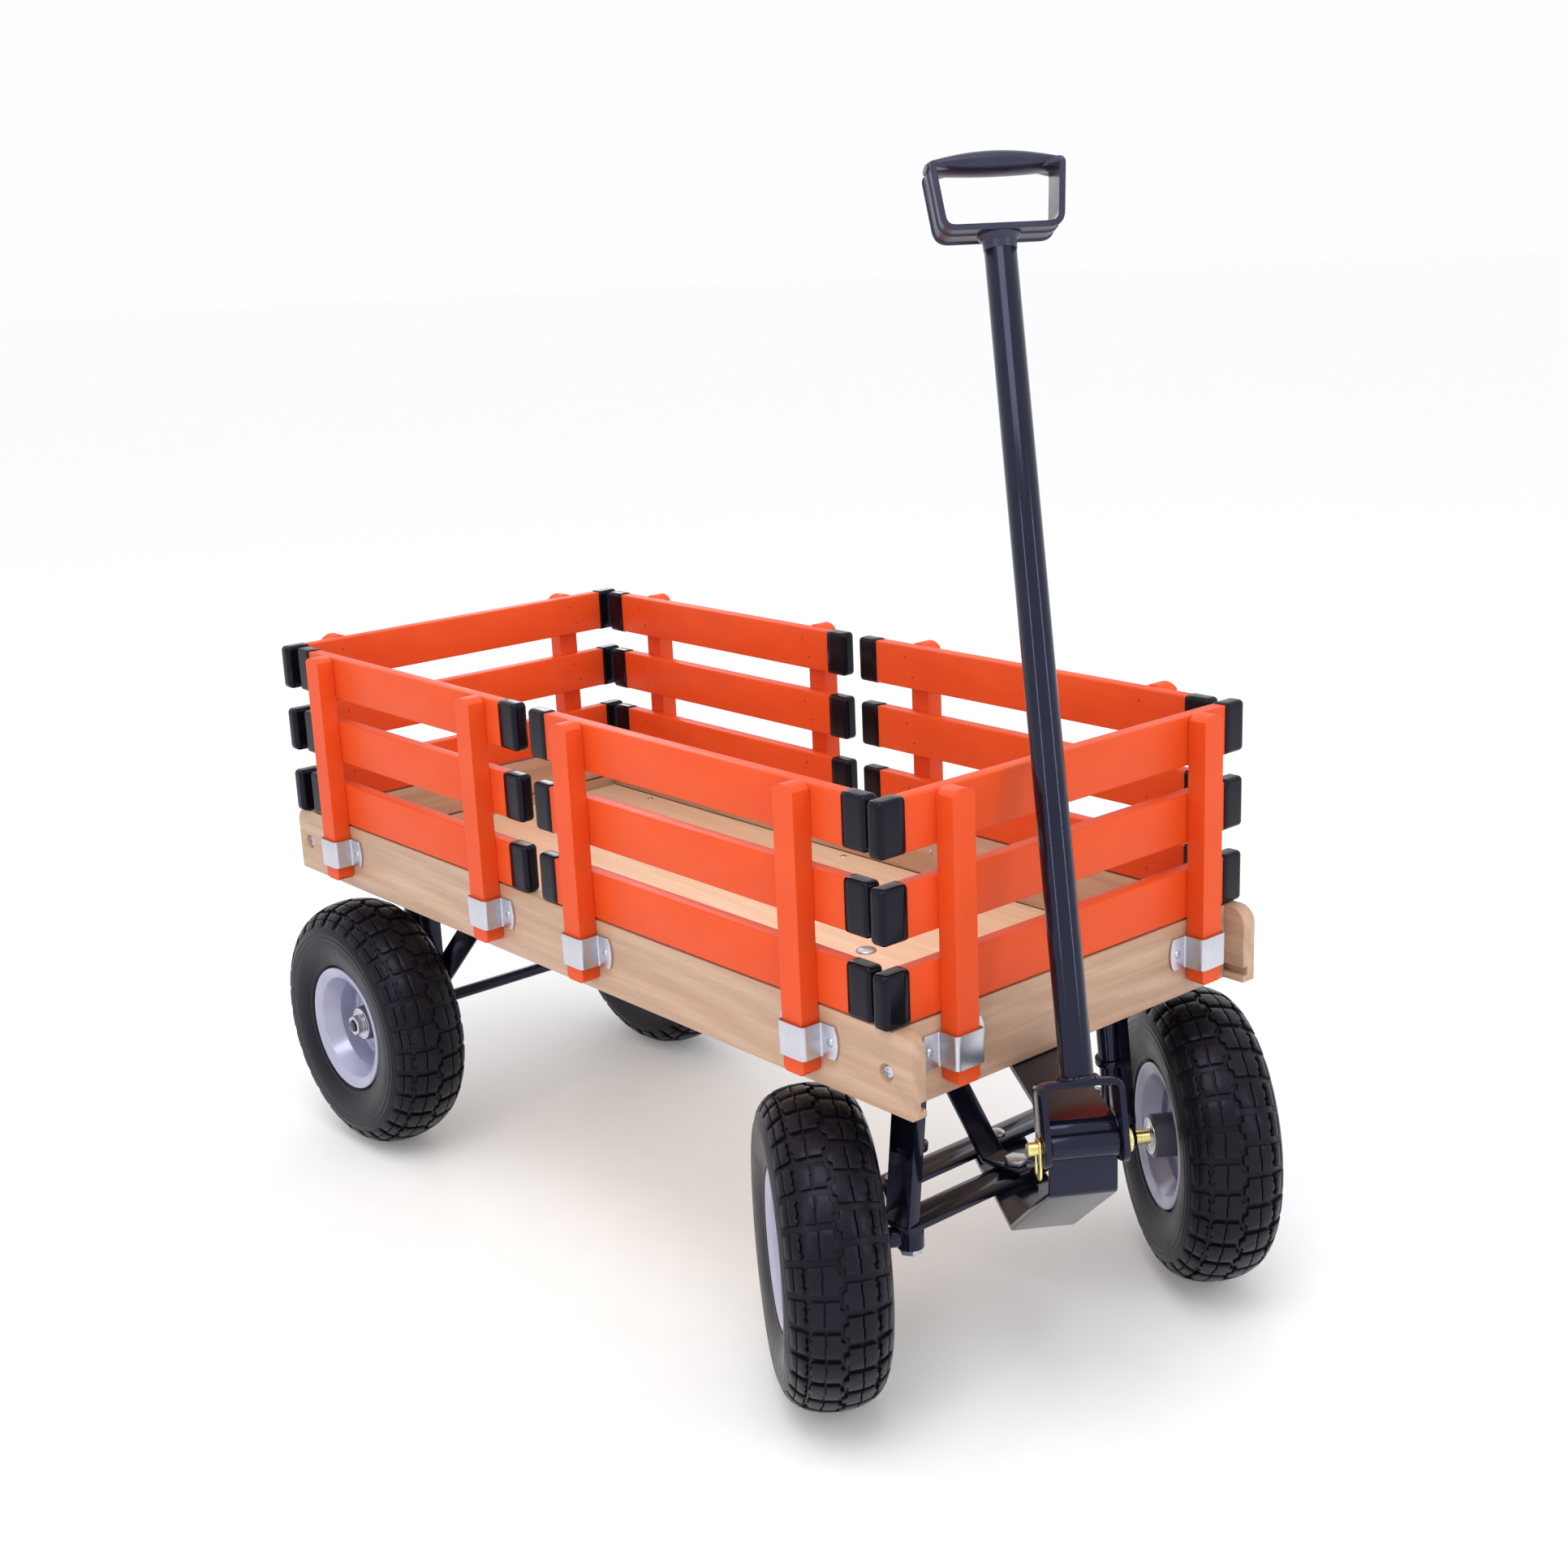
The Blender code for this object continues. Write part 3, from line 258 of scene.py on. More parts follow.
def plated(name, colours, gloss):
    """Zinc plate: soft blotches of tint over a faintly brushed surface."""
    material, tree, shader = start_material(name, gloss, metallic=1.0)
    blotch = noise(tree, stretched(tree), 90.0, 4.0, 0.6, 0.8)
    brushed = noise(tree, stretched(tree, (1400.0, 90.0, 90.0)), 1.0, 3.0)
    tree.links.new(ramp(tree, blotch, (0.32, colours[0]), (0.5, colours[1]),
                        (0.68, colours[2])), shader.inputs["Base Color"])
    tree.links.new(spread(tree, brushed, gloss - 0.02, gloss + 0.04), shader.inputs["Roughness"])
    bump(tree, shader, blotch, 0.01, 0.00002)
    return material


def rubber_material():
    """Black rubber: dull carcass with a slight sheen and fine mould texture."""
    material, tree, shader = start_material("rubber", 0.4)
    grain = noise(tree, stretched(tree), 900.0, 3.0, 0.6)
    cloud = noise(tree, stretched(tree), 24.0, 4.0, 0.6)
    tree.links.new(mixed(tree, spread(tree, cloud, 0.0, 1.0), (0.0045, 0.0042, 0.0065),
                         (0.0085, 0.0078, 0.011)), shader.inputs["Base Color"])
    tree.links.new(spread(tree, cloud, 0.27, 0.42), shader.inputs["Roughness"])
    shader.inputs["Specular IOR Level"].default_value = 0.2
    shader.inputs["Specular Tint"].default_value = (0.8, 0.76, 1.0, 1.0)
    bump(tree, shader, grain, 0.2, 0.0002)
    return material


BEECH_X = bare_wood("beech_lengthways", 0, (0.56, 0.368, 0.25), (0.5, 0.316, 0.208), (0.36, 0.205, 0.125))
BEECH_Y = bare_wood("beech_crossways", 1, (0.54, 0.345, 0.236), (0.47, 0.288, 0.19), (0.32, 0.178, 0.103))
DECK_WOOD = bare_wood("deck_plywood", 0, (0.92, 0.69, 0.48), (0.87, 0.63, 0.42), (0.72, 0.49, 0.3), 0.42)
ORANGE_RAIL = painted_wood("orange_rails", 0)
ORANGE_STAKE = painted_wood("orange_stakes", 2)
BLACK_STEEL = moulded("black_powder_coat", (0.0045, 0.0048, 0.0105), (0.007, 0.0074, 0.015),
                      0.12, 700.0, 0.0001, specular=0.46, tint=(0.62, 0.64, 1.0))
CAP_PLASTIC = moulded("black_cap_plastic", (0.003, 0.003, 0.005), (0.005, 0.005, 0.008),
                      0.19, 260.0, 0.0001, specular=0.22, tint=(0.78, 0.74, 1.0))
GRIP_PLASTIC = moulded("black_grip_plastic", (0.014, 0.014, 0.03), (0.022, 0.022, 0.044),
                       0.3, 1400.0, 0.0001, specular=0.6, tint=(0.75, 0.75, 1.0))
ZINC = plated("bright_zinc", ((0.56, 0.56, 0.62), (0.58, 0.58, 0.64), (0.61, 0.61, 0.67)), 0.34)
YELLOW_ZINC = plated("yellow_zinc", ((0.74, 0.58, 0.2), (0.8, 0.68, 0.3), (0.68, 0.7, 0.36)), 0.26)
RIM_PAINT = moulded("rim_silver_grey", (0.37, 0.37, 0.5), (0.43, 0.43, 0.57), 0.22, 800.0,
                    0.0001, metallic=0.3)
# hub tube: its own dark grey, made darker still as painted shade for where it sits inside the wheel
HUB_GREY_WITH_PAINTED_SHADE = moulded("hub_grey_with_painted_shade", (0.06, 0.062, 0.085), (0.08, 0.082, 0.11), 0.36, 500.0, 0.0001)
BEARING_STEEL = plated("bearing_steel", ((0.44, 0.45, 0.49), (0.54, 0.55, 0.59), (0.62, 0.63, 0.66)), 0.2)
BRAD_MARK = moulded("brad_mark", (0.2, 0.022, 0.006), (0.26, 0.03, 0.01), 0.5, 400.0, 0.0001)
RUBBER = rubber_material()


# ---- mesh helpers
def to_object(shape, name, material, smooth_angle=32.0):
    bmesh.ops.recalc_face_normals(shape, faces=shape.faces)
    mesh = bpy.data.meshes.new(name)
    shape.to_mesh(mesh)
    shape.free()
    mesh.materials.append(material)
    mesh.shade_smooth()
    mesh.set_sharp_from_angle(angle=radians(smooth_angle))
    return place_copy(mesh, name, Matrix.Identity(4))


def place_copy(mesh, name, matrix):
    piece = bpy.data.objects.new(name, mesh)
    bpy.context.scene.collection.objects.link(piece)
    piece.matrix_world = matrix
    return piece


def keep(piece, body, slot, *nodes, matrix=None):
    """Put a piece in place, hang it on the body it rides on and hide the CAD parts it stands for."""
    if matrix is not None:
        piece.matrix_world = matrix
    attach(piece, body)
    if nodes:
        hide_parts(*nodes)


def rim_edges(shape, angle):
    return [e for e in shape.edges if len(e.link_faces) == 2 and e.calc_face_angle(0.0) > radians(angle)]


def round_edges(shape, radius, angle=30.0, segments=2, edges=None):
    bmesh.ops.bevel(shape, geom=edges if edges is not None else rim_edges(shape, angle),
                    offset=radius, segments=segments, profile=0.5, affect="EDGES", clamp_overlap=True)


def skin(shape, rings, closed=False):
    """Faces from each ring of vertices to the next; an open run has its two ends filled."""
    pairs = list(zip(rings, rings[1:]))
    if closed:
        pairs.append((rings[-1], rings[0]))
    for near, far in pairs:
        for k in range(len(near)):
            m = (k + 1) % len(near)
            shape.faces.new((near[k], near[m], far[m], far[k]))
    if not closed:
        shape.faces.new(rings[0])
        shape.faces.new(rings[-1])


def block(low, high):
    shape = bmesh.new()
    bmesh.ops.create_cube(shape, size=1.0)
    size = Vector(high) - Vector(low)
    for vert in shape.verts:
        vert.co = Vector((low[i] + (vert.co[i] + 0.5) * size[i] for i in range(3)))
    return shape


def prism(outline, axis, start, end):
    """Extrude a closed outline along an axis; its points are in the other two axes' order."""
    shape = bmesh.new()
    others = [i for i in range(3) if i != axis]
    rings = []
    for level in (start, end):
        ring = []
        for point in outline:
            corner = [0.0, 0.0, 0.0]
            corner[axis] = level
            corner[others[0]], corner[others[1]] = point
            ring.append(shape.verts.new(corner))
        rings.append(ring)
        shape.faces.new(ring)
    for i in range(len(outline)):
        j = (i + 1) % len(outline)
        shape.faces.new((rings[0][i], rings[0][j], rings[1][j], rings[1][i]))
    return shape


def lathe(profile, segments, axis=1):
    """Spin a closed profile of (along, radius) points about an axis."""
    shape = bmesh.new()
    rings = []
    for k in range(segments):
        angle = 2 * pi * k / segments
        ring = []
        for along, radius in profile:
            corner = [0.0, 0.0, 0.0]
            corner[axis] = along
            corner[(axis + 1) % 3] = radius * cos(angle)
            corner[(axis + 2) % 3] = radius * sin(angle)
            ring.append(shape.verts.new(corner))
        rings.append(ring)
    skin(shape, rings, closed=True)
    bmesh.ops.remove_doubles(shape, verts=shape.verts, dist=1e-6)
    bmesh.ops.dissolve_degenerate(shape, dist=1e-7, edges=shape.edges)
    return shape


def arc(centre, radius, start, end, steps):
    """Points on a circle from one angle to another, in degrees."""
    angles = [radians(start + (end - start) * i / steps) for i in range(steps + 1)]
    return [(centre[0] + radius * cos(a), centre[1] + radius * sin(a)) for a in angles]


def filleted(points, radii, steps=4, closed=True):
    """A polyline with its corners rounded; radii holds one radius for each point."""
    result = []
    count = len(points)
    for i, point in enumerate(points):
        here = Vector(point)
        if radii[i] <= 0 or (not closed and i in (0, count - 1)):
            result.append(tuple(here))
            continue
        to_last = (Vector(points[i - 1]) - here)
        to_next = (Vector(points[(i + 1) % count]) - here)
        half = to_last.angle(to_next) / 2
        reach = min(radii[i] / max(1e-6, sin(half) / cos(half)), 0.49 * to_last.length,
                    0.49 * to_next.length)
        first = here + to_last.normalized() * reach
        last = here + to_next.normalized() * reach
        for k in range(steps + 1):
            t = k / steps
            result.append(tuple(first * (1 - t) ** 2 + here * 2 * t * (1 - t) + last * t * t))
    return result


def folded_strip(path, thickness, half_width, edge):
    """A flat bar bent along an open path in its local XZ plane, Y across it.

    half_width is a function of the distances from the path's start and to its end.
    """
    points = [Vector(p) for p in path]
    lengths = [0.0]
    for a, b in zip(points, points[1:]):
        lengths.append(lengths[-1] + (b - a).length)
    shape = bmesh.new()
    rings = []
    for i, point in enumerate(points):
        before = points[max(i - 1, 0)]
        after = points[min(i + 1, len(points) - 1)]
        tangent = (after - before).normalized()
        normal = Vector((-tangent.y, tangent.x))
        if 0 < i < len(points) - 1:
            normal /= max(0.5, normal.dot(Vector((before.y - point.y, point.x - before.x)).normalized()))
        width = half_width(lengths[i], lengths[-1] - lengths[i])
        ring = []
        for side, y in ((1, -width), (1, width), (-1, width), (-1, -width)):
            at = point + normal * side * thickness / 2
            ring.append(shape.verts.new((at.x, y, at.y)))
        rings.append(ring)
    skin(shape, rings)
    bmesh.ops.recalc_face_normals(shape, faces=shape.faces)
    round_edges(shape, edge, 50.0)
    return shape


def refined(node, material, radius):
    """A CAD node's own shape with its sharp edges rounded over."""
    shape = bmesh.new()
    shape.from_mesh(frame["nodes"][node].data)
    bmesh.ops.remove_doubles(shape, verts=shape.verts, dist=1e-5)
    bmesh.ops.dissolve_limit(shape, angle_limit=radians(1.0), verts=shape.verts, edges=shape.edges)
    round_edges(shape, radius, 35.0)
    return to_object(shape, node + "_look", material)


def joint_place(name):
    """Matrix at a joint whose Y axis lies along the joint's own axis."""
    joint = JOINTS[name]
    across = Vector(joint["axis"]).normalized()
    up = Vector((0.0, 0.0, 1.0))
    forward = across.cross(up)
    matrix = Matrix((forward, across, up)).transposed().to_4x4()
    matrix.translation = Vector(joint["pos_m"])
    return matrix


def body_of(node):
    return frame["nodes"][node]["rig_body"]


# ---- wooden bed
BOARD_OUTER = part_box("side_board_left")[1].y
BOARD_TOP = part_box("side_board_left")[1].z
for name, wood in (("side_board_left", BEECH_X), ("side_board_right", BEECH_X),
                   ("front_board", BEECH_Y), ("rear_board", BEECH_Y)):
    keep(refined(name, wood, 0.0009), "bed", "beech", name)
keep(refined("deck", DECK_WOOD, 0.0004), "bed", "deck_wood", "deck")


def cross_screw_mesh(name, radius, height):
    """Pan head with a cross recess; the head stands along +Z from z = 0."""
    profile = [(-0.0008, 0.0), (-0.0008, radius * 0.97), (0.0, radius)]
    profile += [(height * sin(a), radius * cos(a)) for a in [radians(15 + 12 * k) for k in range(6)]]
    profile += [(height, 0.0)]
    head = to_object(lathe(profile, 28, 2), name, ZINC)
    reach = radius * 0.58
    arm = radius * 0.15
    plus = [(-arm, -reach), (arm, -reach), (arm, -arm), (reach, -arm), (reach, arm),
            (arm, arm), (arm, reach), (-arm, reach), (-arm, arm), (-reach, arm),
            (-reach, -arm), (-arm, -arm)]
    tool = to_object(prism(plus, 2, height * 0.45, height * 1.5), name + "_tool", ZINC)
    modifier = head.modifiers.new("recess", "BOOLEAN")
    modifier.operation = "DIFFERENCE"
    modifier.solver = "EXACT"
    modifier.object = tool
    graph = bpy.context.evaluated_depsgraph_get()
    mesh = bpy.data.meshes.new_from_object(head.evaluated_get(graph))
    mesh.set_sharp_from_angle(angle=radians(32))
    for item in (head, tool):
        bpy.data.objects.remove(item, do_unlink=True)
    return mesh


STRAP_SCREW = cross_screw_mesh("strap_screw", 0.0036, 0.0016)
BED_SCREW = cross_screw_mesh("bed_screw", 0.0058, 0.0028)
DECK_SCREW = cross_screw_mesh("deck_screw", 0.0036, 0.0009)


def domed_head_mesh(name, radius, height):
    """Low dome on a short rim, like a carriage bolt's head or a bolt's rounded end."""
    rim = 0.0006
    profile = [(-0.001, 0.0), (-0.001, radius), (rim, radius)]
    profile += [(rim + height * sin(radians(a)), radius * cos(radians(a))) for a in (20, 36, 52, 68)]
    profile += [(rim + height, 0.0)]
    piece = to_object(lathe(profile, 32, 2), name, ZINC)
    mesh = piece.data
    bpy.data.objects.remove(piece, do_unlink=True)
    return mesh


CARRIAGE_HEAD = domed_head_mesh("carriage_head", 0.0095, 0.003)
BOLT_END = domed_head_mesh("bolt_end", 0.0026, 0.0012)


def facing(outward, at):
    """Matrix at a point whose Z axis points outward."""
    matrix = Vector(outward).to_track_quat("Z", "Y").to_matrix().to_4x4()
    matrix.translation = Vector(at)
    return matrix


def bed_fasteners():
    """Screws in the boards' counterbores, carriage bolts and screws in the deck."""
    counterbore_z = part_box("front_board")[0].z + COUNTERBORE_RISE
    floor_y = BOARD_OUTER - COUNTERBORE_DEPTH
    for board in ("front_board", "rear_board"):
        low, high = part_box(board)
        x = (low.x + high.x) / 2
        for side, sign in (("right", -1), ("left", 1)):
            turn = Matrix.Rotation(radians(20 + 25 * sign), 4, "Z")
            piece = place_copy(BED_SCREW, f"bed_screw_{board}_{side}",
                               facing((0, sign, 0), (x, sign * floor_y, counterbore_z)) @ turn)
            keep(piece, "bed", "zinc")
    deck_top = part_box("deck")[1].z
    brace_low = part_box("front_brace")[0].x
    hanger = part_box("rear_hanger_left")
    rear_x = (hanger[0].x + hanger[1].x) / 2
    bolster_low, bolster_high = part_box("front_bolster")
    heads = [(brace_low + BRACE_BOLT_INSET, 0.0)]
    for sign in (-1, 1):
        heads += [(rear_x, sign * REAR_BOLT_Y),
                  (bolster_low.x + BOLSTER_BOLT_INSET, sign * BOLSTER_BOLT_Y),
                  (bolster_high.x - BOLSTER_BOLT_INSET, sign * BOLSTER_BOLT_Y)]
    for number, (x, y) in enumerate(heads, 1):
        piece = place_copy(CARRIAGE_HEAD, f"carriage_bolt_{number}", facing((0, 0, 1), (x, y, deck_top)))
        keep(piece, "bed", "zinc")
    screw_y = BOARD_OUTER - BOARD_THICKNESS - DECK_SCREW_INSET
    for side, sign in (("right", -1), ("left", 1)):
        for number, x in enumerate(DECK_SCREW_X, 1):
            piece = place_copy(DECK_SCREW, f"deck_screw_{side}_{number}",
                               facing((0, 0, 1), (x, sign * screw_y, deck_top)))
            keep(piece, "bed", "zinc")


bed_fasteners()


# ---- gates and straps
TURNS = {"right": 0.0, "left": pi, "front": pi / 2, "rear": -pi / 2}
GATES = {"front": "front", "rear": "rear", "front_right": "right", "front_left": "left",
         "rear_right": "right", "rear_left": "left"}


def gate_place(name):
    """Gate's frame: origin on the board's outer face, -Y pointing outward."""
    low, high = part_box("gate_" + name)
    centre = (low + high) / 2
    side = GATES[name]
    if side in ("left", "right"):
        centre.y = BOARD_OUTER * (1 if side == "left" else -1)
    elif side == "front":
        centre.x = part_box("front_board")[1].x
    else:
        centre.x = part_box("rear_board")[0].x
    centre.z = 0.0
    return Matrix.Translation(centre) @ Matrix.Rotation(TURNS[side], 4, "Z")


def rail_shape(half):
    shape = block((-half, 0.0, 0.0), (half, RAIL_THICKNESS, RAIL_HEIGHT))
    round_edges(shape, 0.0016, segments=3)
    return shape


def rounded_section(half_y, half_z, radius):
    """Closed rounded rectangle about the origin, the same number of points every time."""
    points = []
    for corner, (sy, sz) in enumerate(((1, 1), (-1, 1), (-1, -1), (1, -1))):
        centre = (sy * (half_y - radius), sz * (half_z - radius))
        points += arc(centre, radius, 90 * corner, 90 * corner + 90, 5)
    return points


def cap_shape():
    """Moulded end cap: a soft cushion form, its mouth towards -X, its tip at x = 0."""
    half_y = RAIL_THICKNESS / 2 + CAP_PROUD
    half_z = RAIL_HEIGHT / 2 + CAP_PROUD
    stations = [(-CAP_LENGTH, 0.001), (-CAP_LENGTH + 0.0003, 0.0004), (-CAP_LENGTH + 0.001, 0.0)]
    stations += [(-CAP_LENGTH * k / 4, 0.0) for k in (3, 2, 1)]
    for degrees in range(0, 91, 15):
        angle = radians(degrees)
        stations.append((-CAP_ROUND + CAP_ROUND * sin(angle), CAP_ROUND * (1 - cos(angle))))
    shape = bmesh.new()
    rings = []
    for x, inset in stations:
        radius = max(0.001, 0.0038 - 0.5 * inset)
        section = rounded_section(half_y - inset, half_z - inset, radius)
        rings.append([shape.verts.new((x, RAIL_THICKNESS / 2 + y, RAIL_HEIGHT / 2 + z))
                      for y, z in section])
    skin(shape, rings)
    return shape


def stake_shape(bottom, top):
    """Stake with a domed top, eased edges and a chamfered foot."""
    half = STAKE_WIDTH / 2
    chamfer = 0.003
    shoulder = 44                # degrees up the dome's circle, where the side meets it
    crown = half / cos(radians(shoulder))
    outline = [(-half + chamfer, bottom), (half - chamfer, bottom), (half, bottom + chamfer)]
    outline += arc((0, top - crown), crown, shoulder, 180 - shoulder, 10)
    outline += [(-half, bottom + chamfer)]
    shape = prism(outline, 1, -GAP - STAKE_THICKNESS, -GAP)
    rims = [e for e in rim_edges(shape, 60.0) if abs(e.verts[0].co.y - e.verts[1].co.y) < 1e-5]
    front = [e for e in rims if e.verts[0].co.y < -STAKE_THICKNESS / 2]
    round_edges(shape, 0.003, segments=4, edges=front)
    back = [e for e in rim_edges(shape, 60.0) if e.verts[0].co.y > -2 * GAP
            and e.verts[1].co.y > -2 * GAP]
    round_edges(shape, 0.0012, segments=2, edges=back)
    return shape


CAP_MESH = to_object(cap_shape(), "cap_pattern", CAP_PLASTIC, 50.0)


def strap_positions(name, place):
    """Middle of each of a gate's two straps, along the gate."""
    found = []
    for number in (1, 2):
        low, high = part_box(f"strap_{name}_{number}")
        found.append((place.inverted() @ ((low + high) / 2)).x)
    return found


def build_gate(name):
    """Two stakes, three rails with a cap at each end, and the brads that join them."""
    place = gate_place(name)
    node = "gate_" + name
    body = "slat_gate_" + name
    low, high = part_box(node)
    half = max(high.x - low.x, high.y - low.y) / 2
    stakes = strap_positions(name, place)
    for number, x in enumerate(stakes, 1):
        piece = to_object(stake_shape(low.z, high.z), f"stake_{name}_{number}", ORANGE_STAKE)
        keep(piece, body, "orange_paint", node, matrix=place @ Matrix.Translation((x, 0, 0)))
    marks = bmesh.new()
    for k in range(3):
        z = BOARD_TOP + RAIL_LIFT + k * RAIL_PITCH
        piece = to_object(rail_shape(half - RAIL_IN_CAP), f"rail_{name}_{k + 1}", ORANGE_RAIL)
        keep(piece, body, "orange_paint", node, matrix=place @ Matrix.Translation((0, -GAP, z)))
        for end, label in ((1, "a"), (-1, "b")):
            turn = Matrix.Identity(4)
            if end < 0:
                turn = (Matrix.Translation((0, RAIL_THICKNESS, 0)) @ Matrix.Rotation(pi, 4, "Z"))
            cap = place_copy(CAP_MESH.data, f"cap_{name}_{k + 1}_{label}",
                             place @ Matrix.Translation((end * half, -GAP, z)) @ turn)
            keep(cap, body, "black_plastic", node)
        for x in stakes:
            for dx, dz in BRAD_SPOTS:
                spot = (Matrix.Translation((x + dx, RAIL_THICKNESS - GAP - 0.00005, z + dz))
                        @ Matrix.Rotation(pi / 2, 4, "X"))
                bmesh.ops.create_cone(marks, cap_ends=True, segments=12,
                                      radius1=BRAD_RADIUS, radius2=BRAD_RADIUS - 0.0002,
                                      depth=0.0004, matrix=spot)
    piece = to_object(marks, "brads_" + name, BRAD_MARK)
    keep(piece, body, "orange_paint", matrix=place)


def build_strap(name, number):
    """Zinc strap bent round the stake, its flange tips cut to a shallow curve."""
    node = f"strap_{name}_{number}"
    place = gate_place(name)
    low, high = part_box(node)
    middle = place.inverted() @ ((low + high) / 2)
    corners = [place.inverted() @ Vector((x, y, low.z)) for x in (low.x, high.x) for y in (low.y, high.y)]
    tip = max(abs(c.x - middle.x) for c in corners)
    reach = -min(c.y for c in corners) - STRAP_WALL / 2
    half_height = (high.z - low.z) / 2
    back = GAP + STRAP_WALL / 2
    wall = STAKE_WIDTH / 2 + STAKE_PLAY + STRAP_WALL / 2
    path = [(-tip, back), (-wall, back), (-wall, reach), (wall, reach), (wall, back), (tip, back)]
    path = filleted(path, [0, 0.003, 0.0032, 0.0032, 0.003, 0], 4, closed=False)
    in_from_tip = [0.0008, 0.0018, 0.003, 0.0042]
    path = ([path[0]] + [(-tip + d, back) for d in in_from_tip] + path[1:-1]
            + [(tip - d, back) for d in reversed(in_from_tip)] + [path[-1]])

    def half_width(from_start, to_end):
        inward = STRAP_TIP_RADIUS - min(from_start, to_end, in_from_tip[-1])
        curve = sqrt(max(STRAP_TIP_RADIUS ** 2 - inward ** 2, 0.0)) + 0.0001
        return min(half_height, curve + max(half_height - STRAP_TIP_HALF_HEIGHT, 0.0))

    shape = folded_strip(path, STRAP_WALL, half_width, 0.0003)
    tip_up = (Matrix.Translation((middle.x, 0, middle.z)) @ Matrix.Rotation(pi / 2, 4, "X"))
    piece = to_object(shape, f"bracket_{name}_{number}", ZINC, 40.0)
    keep(piece, "bed", "zinc", node, matrix=place @ tip_up)
    for side, label in ((-1, "a"), (1, "b")):
        x = middle.x + side * (tip - SCREW_INSET)
        turn = Matrix.Rotation(radians(17 * (number + side) + 9), 4, "Z")
        head = place @ facing((0, -1, 0), (x, -GAP - STRAP_WALL, middle.z)) @ turn
        keep(place_copy(STRAP_SCREW, f"strap_screw_{name}_{number}_{label}", head), "bed", "zinc")
        end = place @ facing((0, 1, 0), (x, BOARD_THICKNESS, middle.z))
        keep(place_copy(BOLT_END, f"strap_bolt_end_{name}_{number}_{label}", end), "bed", "zinc")


for gate_name in GATES:
    build_gate(gate_name)
    for strap_number in (1, 2):
        build_strap(gate_name, strap_number)
bpy.data.objects.remove(CAP_MESH, do_unlink=True)


# ---- tyres
CROWN = [(0.0, 0.131), (0.01, 0.1304), (0.02, 0.1283), (0.028, 0.1249), (0.034, 0.1205),
         (0.0388, 0.1143), (0.0415, 0.107), (0.0425, 0.0985), (0.0422, 0.09),
         (0.04, 0.0805), (0.0365, 0.0715), (0.0335, 0.0668), (0.031, 0.0655)]


def smooth_points(points, steps):
    """Catmull-Rom curve through the points."""
    result = []
    for i in range(len(points) - 1):
        p0 = Vector(points[max(i - 1, 0)])
        if i == 0:
            p0 = Vector((-points[1][0], points[1][1]))
        p1, p2 = Vector(points[i]), Vector(points[i + 1])
        p3 = Vector(points[min(i + 2, len(points) - 1)])
        for k in range(steps):
            t = k / steps
            result.append(0.5 * (2 * p1 + (p2 - p0) * t + (2 * p0 - 5 * p1 + 4 * p2 - p3) * t * t
                                 + (3 * p1 - p0 - 3 * p2 + p3) * t ** 3))
    result.append(Vector(points[-1]))
    return result


SECTION = smooth_points(CROWN, 6)
STATIONS = [0.0]
for first, second in zip(SECTION, SECTION[1:]):
    STATIONS.append(STATIONS[-1] + (second - first).length)


def on_section(v):
    """Point and outward normal of the tyre's outer section, v metres from its centre line."""
    distance = min(abs(v), STATIONS[-1] - 1e-6)
    i = max(k for k, s in enumerate(STATIONS) if s <= distance)
    i = min(i, len(SECTION) - 2)
    t = (distance - STATIONS[i]) / (STATIONS[i + 1] - STATIONS[i])
    point = SECTION[i].lerp(SECTION[i + 1], t)
    tangent = (SECTION[i + 1] - SECTION[i]).normalized()
    normal = Vector((-tangent.y, tangent.x))
    if v < 0:
        point.x, normal.x = -point.x, -normal.x
    return point, normal


def on_tyre(u, v, height):
    """A point of the tread: u round the tyre at its crown, v across it, height outward."""
    point, normal = on_section(v)
    across = point.x + height * normal.x
    radius = point.y + height * normal.y
    angle = u / TYRE_RADIUS
    return Vector((radius * cos(angle), across, radius * sin(angle)))


def eased(t):
    """From 0 to 1 with level ends."""
    t = min(max(t, 0.0), 1.0)
    return t * t * (3 - 2 * t)


def groove_depth(v):
    """How far the carcass lies under the tread blocks; nothing on the sidewall."""
    return TREAD_DEPTH * (1 - eased((abs(v) - 0.038) / 0.014))


# each moulded ring: distance from the centre line, half width and height
SIDEWALL_RINGS = ((0.0545, 0.0006, 0.0005), (0.0595, 0.0005, 0.0004), (0.0905, 0.0011, 0.0006))


def carcass_height(v):
    """Height of the casing's own surface: grooves below the tread, rings on the wall."""
    height = -groove_depth(v)
    for centre, half, proud in SIDEWALL_RINGS:
        t = abs(abs(v) - centre) / (2 * half)
        if t < 1:
            height += proud * (1 - t * t) ** 2
    return height


